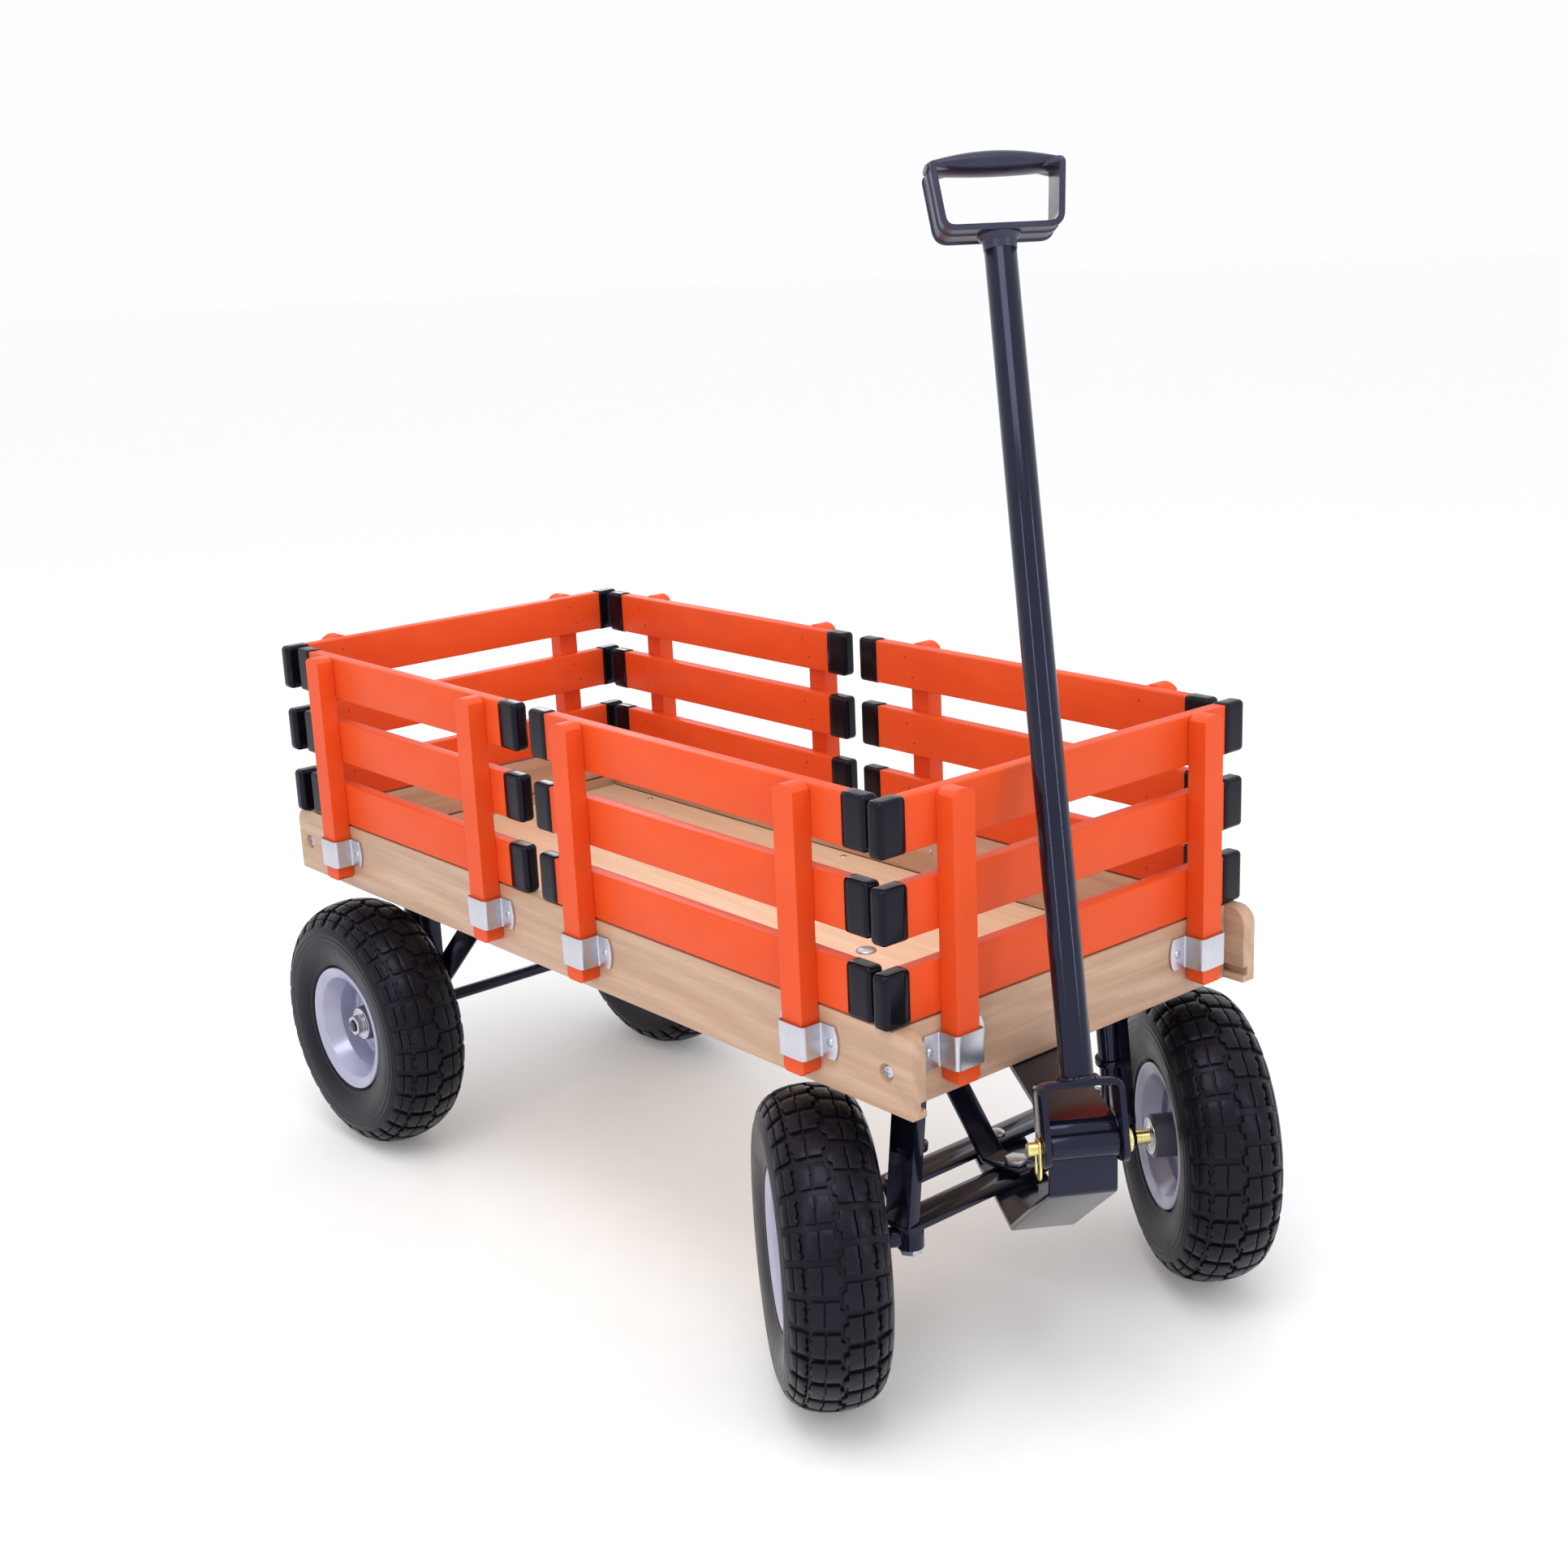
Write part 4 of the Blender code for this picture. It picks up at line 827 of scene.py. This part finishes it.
def tread_block(outline, mirror, shift):
    """One block from a flat outline of (share of a pitch, mm across) points."""
    pitch = 2 * pi * TYRE_RADIUS / TREAD_PITCHES
    flat_foot = -0.001
    shape = bmesh.new()
    points = [((u + shift) * pitch, mirror * v * 0.001) for u, v in outline]
    lower = [shape.verts.new((u, v, flat_foot)) for u, v in points]
    upper = [shape.verts.new((u, v, 0.0)) for u, v in points]
    shape.faces.new(lower)
    top = shape.faces.new(upper)
    for i in range(len(points)):
        j = (i + 1) % len(points)
        shape.faces.new((lower[i], lower[j], upper[j], upper[i]))
    bmesh.ops.recalc_face_normals(shape, faces=shape.faces)
    round_edges(shape, 0.0006, segments=2, edges=list(top.edges))
    for axis, spacing in ((0, 0.0062), (1, 0.0042)):
        values = [v.co[axis] for v in shape.verts]
        low, high = min(values), max(values)
        steps = max(1, int((high - low) / spacing))
        for k in range(1, steps):
            plane = Vector((0, 0, 0))
            plane[axis] = low + (high - low) * k / steps
            normal = Vector((0, 0, 0))
            normal[axis] = 1.0
            bmesh.ops.bisect_plane(shape, geom=shape.verts[:] + shape.edges[:] + shape.faces[:],
                                   plane_co=plane, plane_no=normal)
    for vert in shape.verts:
        u, v, h = vert.co
        if h < 0.95 * flat_foot:
            h = -groove_depth(v) - BLOCK_ROOT
        vert.co = on_tyre(u, v, h)
    return shape


INNER_HALF = [(0.00, 3.2), (0.2, 3.2), (0.27, -0.4), (0.5, -0.4), (0.57, 3.2), (0.79, 3.2),
              (0.79, 14.0), (0.43, 14.0), (0.43, 14.7), (0.00, 14.7)]
OUTER_HALF = [(0.00, 16.0), (0.43, 16.0), (0.43, 15.3), (0.79, 15.3), (0.79, 24.6),
              (0.69, 27.2), (0.61, 25.4), (0.5, 28.2), (0.32, 28.2), (0.22, 25.4),
              (0.12, 27.2), (0.00, 24.6)]
SHOULDER = [(0.03, 31.6), (0.14, 29.6), (0.24, 31.6), (0.34, 30.4), (0.5, 30.4),
            (0.6, 31.6), (0.72, 29.6), (0.8, 31.6), (0.8, 38.6), (0.03, 38.6)]
SHOULDER_FOOT = [(0.05, 39.5), (0.78, 39.5), (0.78, 46.5), (0.7, 48.0), (0.13, 48.0), (0.05, 46.5)]


def tyre_mesh():
    """Turned casing with one pitch of tread blocks copied round it."""
    cell = bmesh.new()
    for mirror, shift in ((1, 0.0), (-1, 0.5)):
        for outline in (INNER_HALF, OUTER_HALF, SHOULDER, SHOULDER_FOOT):
            block_shape = tread_block(outline, mirror, shift)
            mesh = bpy.data.meshes.new("block")
            block_shape.to_mesh(mesh)
            block_shape.free()
            cell.from_mesh(mesh)
            bpy.data.meshes.remove(mesh)
    bmesh.ops.recalc_face_normals(cell, faces=cell.faces)
    cell_mesh = bpy.data.meshes.new("cell")
    cell.to_mesh(cell_mesh)
    cell.free()
    # stations across the section, closer together where the wall has its rings
    samples = [0.0015 * k for k in range(35)]
    samples += [0.0525 + 0.0006 * k for k in range(14)]
    samples += [0.062 + 0.0025 * k for k in range(11)]
    samples += [0.0885 + 0.0006 * k for k in range(9)]
    end = STATIONS[-1]
    samples = [v for v in samples if v < end] + [end]
    right = []
    for v in samples:
        point, normal = on_section(v)
        spot = point + normal * carcass_height(v)
        right.append((spot.x, spot.y))
    profile = [(-s, r) for s, r in reversed(right[1:])] + right
    profile += [(BEAD_HALF_WIDTH, BEAD_RADIUS), (-BEAD_HALF_WIDTH, BEAD_RADIUS)]
    whole = lathe(profile, 120)
    for k in range(TREAD_PITCHES):
        copy = cell_mesh.copy()
        copy.transform(Matrix.Rotation(-2 * pi * k / TREAD_PITCHES, 4, "Y"))
        whole.from_mesh(copy)
        bpy.data.meshes.remove(copy)
    mesh = bpy.data.meshes.new("tyre")
    whole.to_mesh(mesh)
    whole.free()
    mesh.materials.append(RUBBER)
    mesh.shade_smooth()
    mesh.set_sharp_from_angle(angle=radians(40))
    return mesh


# ---- rims, hubs and bearings
def rim_shape(sign):
    """Drop-centre rim with rolled flanges and a dished, ringed disc."""
    w = RIM_HALF_WIDTH
    points = [(w, 0.0625), (w, RIM_RADIUS), (w - 0.0045, RIM_RADIUS), (w - 0.0055, 0.058),
              (0.017, 0.056), (0.013, 0.0485), (-0.013, 0.0485), (-0.017, 0.056),
              (-w + 0.0055, 0.058), (-w + 0.0045, RIM_RADIUS), (-w, RIM_RADIUS),
              (-w, 0.0625), (-w + 0.0035, 0.0545), (-0.0165, 0.0455), (-0.0085, 0.0455),
              (-0.0085, 0.036), (-0.0055, 0.033), (-0.0085, 0.03), (-0.0085, 0.021),
              (-0.0045, 0.021), (-0.0045, 0.029), (-0.001, 0.032), (-0.001, 0.0345),
              (-0.005, 0.0375), (-0.005, 0.0455), (0.015, 0.046), (w - 0.0035, 0.0545)]
    radii = [0.0014, 0.0016, 0.0012, 0.003, 0.003, 0.003, 0.003, 0.003, 0.003, 0.0012, 0.0016,
             0.0014, 0.004, 0.004, 0.004, 0.002, 0.002, 0.002, 0, 0, 0.002, 0.0015, 0.0015,
             0.002, 0.005, 0.004, 0.004]
    profile = [(sign * s, r) for s, r in filleted(points, radii, 4)]
    return lathe(profile, 96)


def hub_shape(sign):
    """Plain tube through the disc, with a small weld fillet where they meet."""
    bore = 0.0142
    points = [(HUB_INNER, 0.0195), (-0.0115, 0.0195), (-0.0085, 0.0216), (-0.0045, 0.0216),
              (-0.0015, 0.0195), (HUB_OUTER - 0.004, 0.0178), (HUB_OUTER - 0.002, 0.0172),
              (HUB_OUTER - 0.002, bore), (HUB_INNER, bore)]
    radii = [0.0008, 0.002, 0.001, 0.001, 0.002, 0.001, 0.0006, 0.0004, 0.0004]
    return lathe([(sign * s, r) for s, r in filleted(points, radii, 3)], 64)


def bearing_shape(sign, face, outward):
    """Flanged bearing: races and shield as stepped rings round the axle."""
    steps = [(-0.01, BEARING_BORE), (-0.01, 0.014), (0.0, 0.014), (0.0, 0.0168),
             (0.0014, 0.0168), (0.0014, 0.0146), (0.0006, 0.0142), (0.0006, 0.0108),
             (0.0012, 0.0106), (0.0012, 0.009), (0.0022, 0.0088), (0.0022, BEARING_BORE)]
    radii = [0, 0, 0, 0.0004, 0.0005, 0.0003, 0.0002, 0.0002, 0.0002, 0.0002, 0.0004, 0]
    profile = [(sign * (face + outward * s), r) for s, r in filleted(steps, radii, 2)]
    return lathe(profile, 48)


TYRE_MESH = tyre_mesh()
# how far each tyre has rolled, in degrees
WHEEL_PHASES = {"front_right": 7.0, "front_left": 3.0, "rear_right": 1.5, "rear_left": 9.0}


def build_wheel(place_name):
    """Tyre, rim, hub tube and two bearings, all on the wheel's own body."""
    side_sign = -1 if place_name.endswith("right") else 1
    place = joint_place(f"wheel_{place_name}_spin")
    body = "wheel_" + place_name
    mesh = TYRE_MESH.copy()
    mesh.transform(Matrix.Rotation(radians(WHEEL_PHASES[place_name]), 4, "Y"))
    tyre = place_copy(mesh, "tyre_look_" + place_name, place)
    keep(tyre, body, "rubber", "tyre_" + place_name)
    rim = to_object(rim_shape(side_sign), "rim_look_" + place_name, RIM_PAINT, 40.0)
    keep(rim, body, "rim_paint", "rim_" + place_name, matrix=place)
    # the hub's dark grey carries painted shade
    hub = to_object(hub_shape(side_sign), "hub_" + place_name, HUB_GREY_WITH_PAINTED_SHADE, 40.0)
    keep(hub, body, "rim_paint", "rim_" + place_name, matrix=place)
    for label, face, outward in (("inner", HUB_INNER, -1), ("outer", HUB_OUTER - 0.0018, 1)):
        bearing = to_object(bearing_shape(side_sign, face, outward),
                            f"bearing_{label}_{place_name}", BEARING_STEEL, 40.0)
        keep(bearing, body, "zinc", matrix=place)


for wheel_name in WHEEL_PHASES:
    build_wheel(wheel_name)


# ---- steel undercarriage
for name in ("front_bolster", "front_axle_plate", "front_brace", "front_hanger_left",
             "front_hanger_right", "rear_hanger_left", "rear_hanger_right", "rear_brace_left",
             "rear_brace_right", "knuckle_left", "knuckle_right", "tie_rod", "rear_axle"):
    keep(refined(name, BLACK_STEEL, 0.0006), body_of(name), "black_steel", name)
for name in ("kingpin_left", "kingpin_right", "tongue_pivot_lower", "tongue_pivot_upper",
             "rear_axle_nut_left", "rear_axle_nut_right", "tie_rod_bolt_left",
             "tie_rod_bolt_centre", "tie_rod_bolt_right"):
    keep(refined(name, ZINC, 0.0005), body_of(name), "zinc", name)
for name in ("front_axle_bolt_left", "front_axle_bolt_right", "hitch_pin"):
    keep(refined(name, YELLOW_ZINC, 0.0005), body_of(name), "yellow_zinc", name)


# ---- tongue, yoke, tube, grip
PIN_PLACE = joint_place("handle_swing")
STEER_PLACE = joint_place("handle_swing")
STEER_PLACE.translation = (*JOINTS["steer"]["pos_m"][:2], 0.0)
HANDLE_PLACE = PIN_PLACE @ Matrix.Rotation(-HANDLE_LEAN, 4, "Y")
PIN_REACH = (PIN_PLACE.translation - STEER_PLACE.translation).xy.length


def build_tongue():
    """Folded strip with the pin's tube welded across its nose."""
    low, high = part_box("tongue")
    top = high.z - STRIP / 2
    bottom = low.z + STRIP / 2
    nose = PIN_REACH + NOSE_PROUD - STRIP / 2
    path = [(TONGUE_TOP_END, top), (nose, top), (nose, NOSE_FOOT), (SLOPE_FOOT, bottom),
            (TONGUE_BOTTOM_END, bottom)]
    path = filleted(path, [0, 0.008, 0.005, 0.01, 0], 6, closed=False)
    path.insert(1, (TONGUE_TOP_END + TONGUE_END_ROUND, top))
    path.insert(-1, (TONGUE_BOTTOM_END + TONGUE_END_ROUND, bottom))

    def half_width(from_start, to_end):
        return TONGUE_HALF_WIDTH - max(0.0, TONGUE_END_ROUND - min(from_start, to_end))

    strip = to_object(folded_strip(path, STRIP, half_width, 0.0008), "tongue_strip", BLACK_STEEL, 40.0)
    keep(strip, "steering_tongue", "black_steel", "tongue", matrix=STEER_PLACE)
    half = TONGUE_HALF_WIDTH
    points = [(-half, PIN_TUBE_BORE), (-half, PIN_TUBE_RADIUS), (half, PIN_TUBE_RADIUS),
              (half, PIN_TUBE_BORE)]
    tube = to_object(lathe(filleted(points, [0.0005, 0.0008, 0.0008, 0.0005], 3), 48),
                     "tongue_pin_tube", BLACK_STEEL, 40.0)
    keep(tube, "steering_tongue", "black_steel", "tongue", matrix=PIN_PLACE)


def weld_shape():
    """Rippled bead where the tube stands on the yoke."""
    weld = bmesh.new()
    ripples = 120
    around = 10
    rings = []
    for k in range(ripples):
        angle = 2 * pi * k / ripples
        wave = 0.0003 * sin(angle * 17) + 0.0002 * sin(angle * 5 + 1)
        ring = []
        for m in range(around):
            a = 2 * pi * m / around
            r = TUBE_RADIUS + 0.0006 + (0.0032 + wave) * cos(a)
            z = YOKE_TOP + 0.0004 + (0.0026 + wave) * sin(a)
            ring.append(weld.verts.new((r * cos(angle), r * sin(angle), z)))
        rings.append(ring)
    skin(weld, rings, closed=True)
    return weld


def build_yoke():
    """Bar bent over the tongue, with the long tube welded on top."""
    path = [(-YOKE_HALF_WIDTH, YOKE_FOOT), (-YOKE_HALF_WIDTH, YOKE_TOP - STRIP / 2),
            (YOKE_HALF_WIDTH, YOKE_TOP - STRIP / 2), (YOKE_HALF_WIDTH, YOKE_FOOT)]
    path = filleted(path, [0, 0.0078, 0.0078, 0], 7, closed=False)
    up_from_foot = [0.0035, 0.009]
    path = ([path[0]] + [(-YOKE_HALF_WIDTH, YOKE_FOOT + d) for d in up_from_foot] + path[1:-1]
            + [(YOKE_HALF_WIDTH, YOKE_FOOT + d) for d in reversed(up_from_foot)] + [path[-1]])

    def half_width(from_start, to_end):
        rounded = up_from_foot[-1]
        short = max(0.0, rounded - min(from_start, to_end))
        return YOKE_HALF_DEPTH - short ** 2 / rounded * 0.9

    turn = Matrix.Rotation(pi / 2, 4, "Z")
    yoke = to_object(folded_strip(path, STRIP, half_width, 0.0009), "handle_yoke", BLACK_STEEL, 40.0)
    keep(yoke, "pull_handle", "black_steel", "handle", matrix=HANDLE_PLACE @ turn)
    keep(to_object(weld_shape(), "handle_weld", BLACK_STEEL, 60.0), "pull_handle",
         "black_steel", "handle", matrix=HANDLE_PLACE)
    bore = TUBE_RADIUS - 0.002
    foot = YOKE_TOP - 0.0005
    points = [(foot, bore), (foot, TUBE_RADIUS), (TUBE_END, TUBE_RADIUS), (TUBE_END, bore)]
    tube = to_object(lathe(filleted(points, [0, 0, 0.0004, 0.0004], 2), 64, 2), "handle_tube",
                     BLACK_STEEL, 40.0)
    keep(tube, "pull_handle", "black_steel", "handle", matrix=HANDLE_PLACE)


def build_hitch_clip():
    """Spring clip: a long closed loop of round wire that hangs on the hitch pin's end."""
    outline = filleted([(-CLIP_HALF_WIDTH, -CLIP_DROP), (CLIP_HALF_WIDTH, -CLIP_DROP),
                        (CLIP_HALF_WIDTH, CLIP_RISE), (-CLIP_HALF_WIDTH, CLIP_RISE)], [0.0055] * 4, 6)
    around = 12
    shape = bmesh.new()
    rings = []
    for i, point in enumerate(outline):
        along = (Vector(outline[(i + 1) % len(outline)]) - Vector(outline[i - 1])).normalized()
        ring = []
        for k in range(around):
            a = 2 * pi * k / around
            out = CLIP_WIRE * cos(a)
            ring.append(shape.verts.new((point[0] + along.y * out, CLIP_WIRE * sin(a),
                                         point[1] - along.x * out)))
        rings.append(ring)
    skin(shape, rings, closed=True)
    beside = Matrix.Translation((0.0, -YOKE_HALF_WIDTH - STRIP / 2 - CLIP_WIRE - 2 * GAP, 0.0))
    keep(to_object(shape, "hitch_clip_wire", YELLOW_ZINC, 60.0), body_of("hitch_clip"),
         "yellow_zinc", "hitch_clip", matrix=PIN_PLACE @ beside)


def grip_loop():
    """Moulded band round three sides of the hand hole, hidden in the bar at the top."""
    low = TUBE_END + GAP
    high = GRIP_TOP - 0.0015
    foot = GRIP_HALF_WIDTH - 0.006
    wide = GRIP_HALF_WIDTH
    outline = filleted([(-foot, low), (foot, low), (wide, high), (-wide, high)],
                       [0.013, 0.013, 0.006, 0.006], 8)
    dense = []
    for i, point in enumerate(outline):
        a, b = Vector(point), Vector(outline[(i + 1) % len(outline)])
        steps = max(1, int((b - a).length / 0.004))
        dense += [a.lerp(b, k / steps) for k in range(steps)]
    half = GRIP_HALF_DEPTH
    wall = 0.0048
    recess = 0.0012
    section = [(-half, -wall + 0.0008), (-half, -0.0006), (-half + 0.0006, 0.0),
               (-half + 0.002, 0.0), (-half + 0.003, -recess), (-0.0032, -recess),
               (-0.0022, -0.0002), (0.0022, -0.0002), (0.0032, -recess),
               (half - 0.003, -recess), (half - 0.002, 0.0), (half - 0.0006, 0.0),
               (half, -0.0006), (half, -wall + 0.0008), (half - 0.0008, -wall), (-half + 0.0008, -wall)]
    shape = bmesh.new()
    rings = []
    count = len(dense)
    for i, point in enumerate(dense):
        tangent = (dense[(i + 1) % count] - dense[i - 1]).normalized()
        normal = Vector((tangent.y, -tangent.x))
        across = 1.0
        if point.y > high - 0.012:
            rise = min(1.0, (point.y - high + 0.012) / 0.006)
            across = 1.0 - 0.62 * rise * eased((wide - abs(point.x)) / 0.024)
        rings.append([shape.verts.new((x * across, (point + normal * out).x,
                                       (point + normal * out).y)) for x, out in section])
    skin(shape, rings, closed=True)
    return shape


def grip_bar():
    """Hand bar: fat in the middle, arched along its top, thin where it meets the sides."""
    bar = bmesh.new()
    end = GRIP_HALF_WIDTH - 0.0004
    around = 32
    stations = 33
    rings = []
    for k in range(stations):
        s = -1 + 2 * k / (stations - 1)
        swell = max(0.0, 1 - s * s)
        crown = 0.004 + 0.005 * swell
        belly = 0.0035 + 0.006 * swell
        deep = 0.0125 + 0.001 * swell
        tip = sqrt(max(0.0, 1 - max(0.0, (abs(s) - 0.93) / 0.07) ** 2)) * 0.25 + 0.75
        middle = GRIP_TOP - 0.0028 * (1 - swell)
        ring = []
        for m in range(around):
            a = 2 * pi * m / around
            tall = crown if sin(a) > 0 else belly
            ring.append(bar.verts.new((deep * tip * cos(a), s * end, middle + tall * tip * sin(a))))
        rings.append(ring)
    skin(bar, rings)
    return bar


def build_grip():
    """Loop, hand bar and the short flared socket that the tube goes into."""
    bore = TUBE_RADIUS + 0.0001
    points = [(TUBE_END - 0.011, bore), (TUBE_END - 0.011, 0.0128),
              (TUBE_END - 0.004, 0.0133), (TUBE_END - 0.0005, 0.0168),
              (TUBE_END + 0.0015, 0.0168), (TUBE_END + 0.0015, bore)]
    radii = [0, 0.0001, 0.004, 0.0005, 0, 0]
    socket = lathe(filleted(points, radii, 4), 48, 2)
    for shape, name in ((grip_loop(), "grip_loop"), (grip_bar(), "grip_hand_bar"),
                        (socket, "grip_socket")):
        keep(to_object(shape, name, GRIP_PLASTIC, 40.0), "pull_handle", "black_plastic",
             "grip", matrix=HANDLE_PLACE)


build_tongue()
build_yoke()
build_hitch_clip()
build_grip()


# ---- floor, light and camera
def build_floor():
    """Pale, faintly glowing disc, wide enough to reach the horizon."""
    material = moulded("studio_floor", (0.86, 0.86, 0.865), (0.88, 0.88, 0.885), 0.8, 40.0,
                       0.0001, specular=0.2)
    shader = material.node_tree.nodes["Principled BSDF"]
    shader.inputs["Emission Color"].default_value = (0.98, 0.98, 1.0, 1.0)
    shader.inputs["Emission Strength"].default_value = 0.11
    shape = bmesh.new()
    bmesh.ops.create_circle(shape, cap_ends=True, segments=96, radius=30.0)
    floor = to_object(shape, "studio_floor", material)


def area_light(name, at, target, size, watts, colour):
    light = bpy.data.lights.new(name, "AREA")
    light.shape = "RECTANGLE"
    light.size, light.size_y = size
    light.energy = watts
    light.color = colour
    item = bpy.data.objects.new(name, light)
    bpy.context.scene.collection.objects.link(item)
    item.location = at
    item.rotation_mode = "QUATERNION"
    item.rotation_quaternion = (Vector(target) - Vector(at)).to_track_quat("-Z", "Y")


def build_studio():
    """Even white surroundings, one softbox overhead and three upright strips."""
    world = bpy.data.worlds.new("studio")
    world.use_nodes = True
    background = world.node_tree.nodes["Background"]
    background.inputs["Color"].default_value = (0.985, 0.99, 1.0, 1.0)
    background.inputs["Strength"].default_value = 1.0
    bpy.context.scene.world = world
    bpy.context.scene.view_settings.view_transform = "Standard"
    middle = (0.0, 0.0, 0.35)
    area_light("top_softbox", (0.9, -1.0, 2.9), middle, (1.6, 1.6), 30.0, (1.0, 0.99, 0.97))
    area_light("right_strip", (0.9, -2.9, 1.9), middle, (0.22, 1.6), 9.0, (0.92, 0.95, 1.0))
    area_light("front_strip", (3.0, 0.5, 1.7), middle, (0.22, 1.6), 9.0, (0.92, 0.95, 1.0))
    area_light("rear_strip", (-2.6, 1.6, 1.8), middle, (0.35, 1.5), 7.0, (0.95, 0.97, 1.0))


def build_camera():
    """Camera at the photograph's angle: turned, tipped down and rolled a little."""
    place = Vector((1.4559, -1.1782, 0.937))
    turn = radians(49.99)
    tip = radians(-15.3)
    roll = radians(-2.52)
    camera = bpy.data.cameras.new("camera")
    camera.sensor_width = 36.0
    camera.lens = 47.605
    item = bpy.data.objects.new("camera", camera)
    bpy.context.scene.collection.objects.link(item)
    item.matrix_world = (Matrix.Translation(place) @ Matrix.Rotation(turn, 4, "Z")
                         @ Matrix.Rotation(pi / 2 + tip, 4, "X") @ Matrix.Rotation(roll, 4, "Z"))
    bpy.context.scene.camera = item


build_floor()
build_studio()
build_camera()
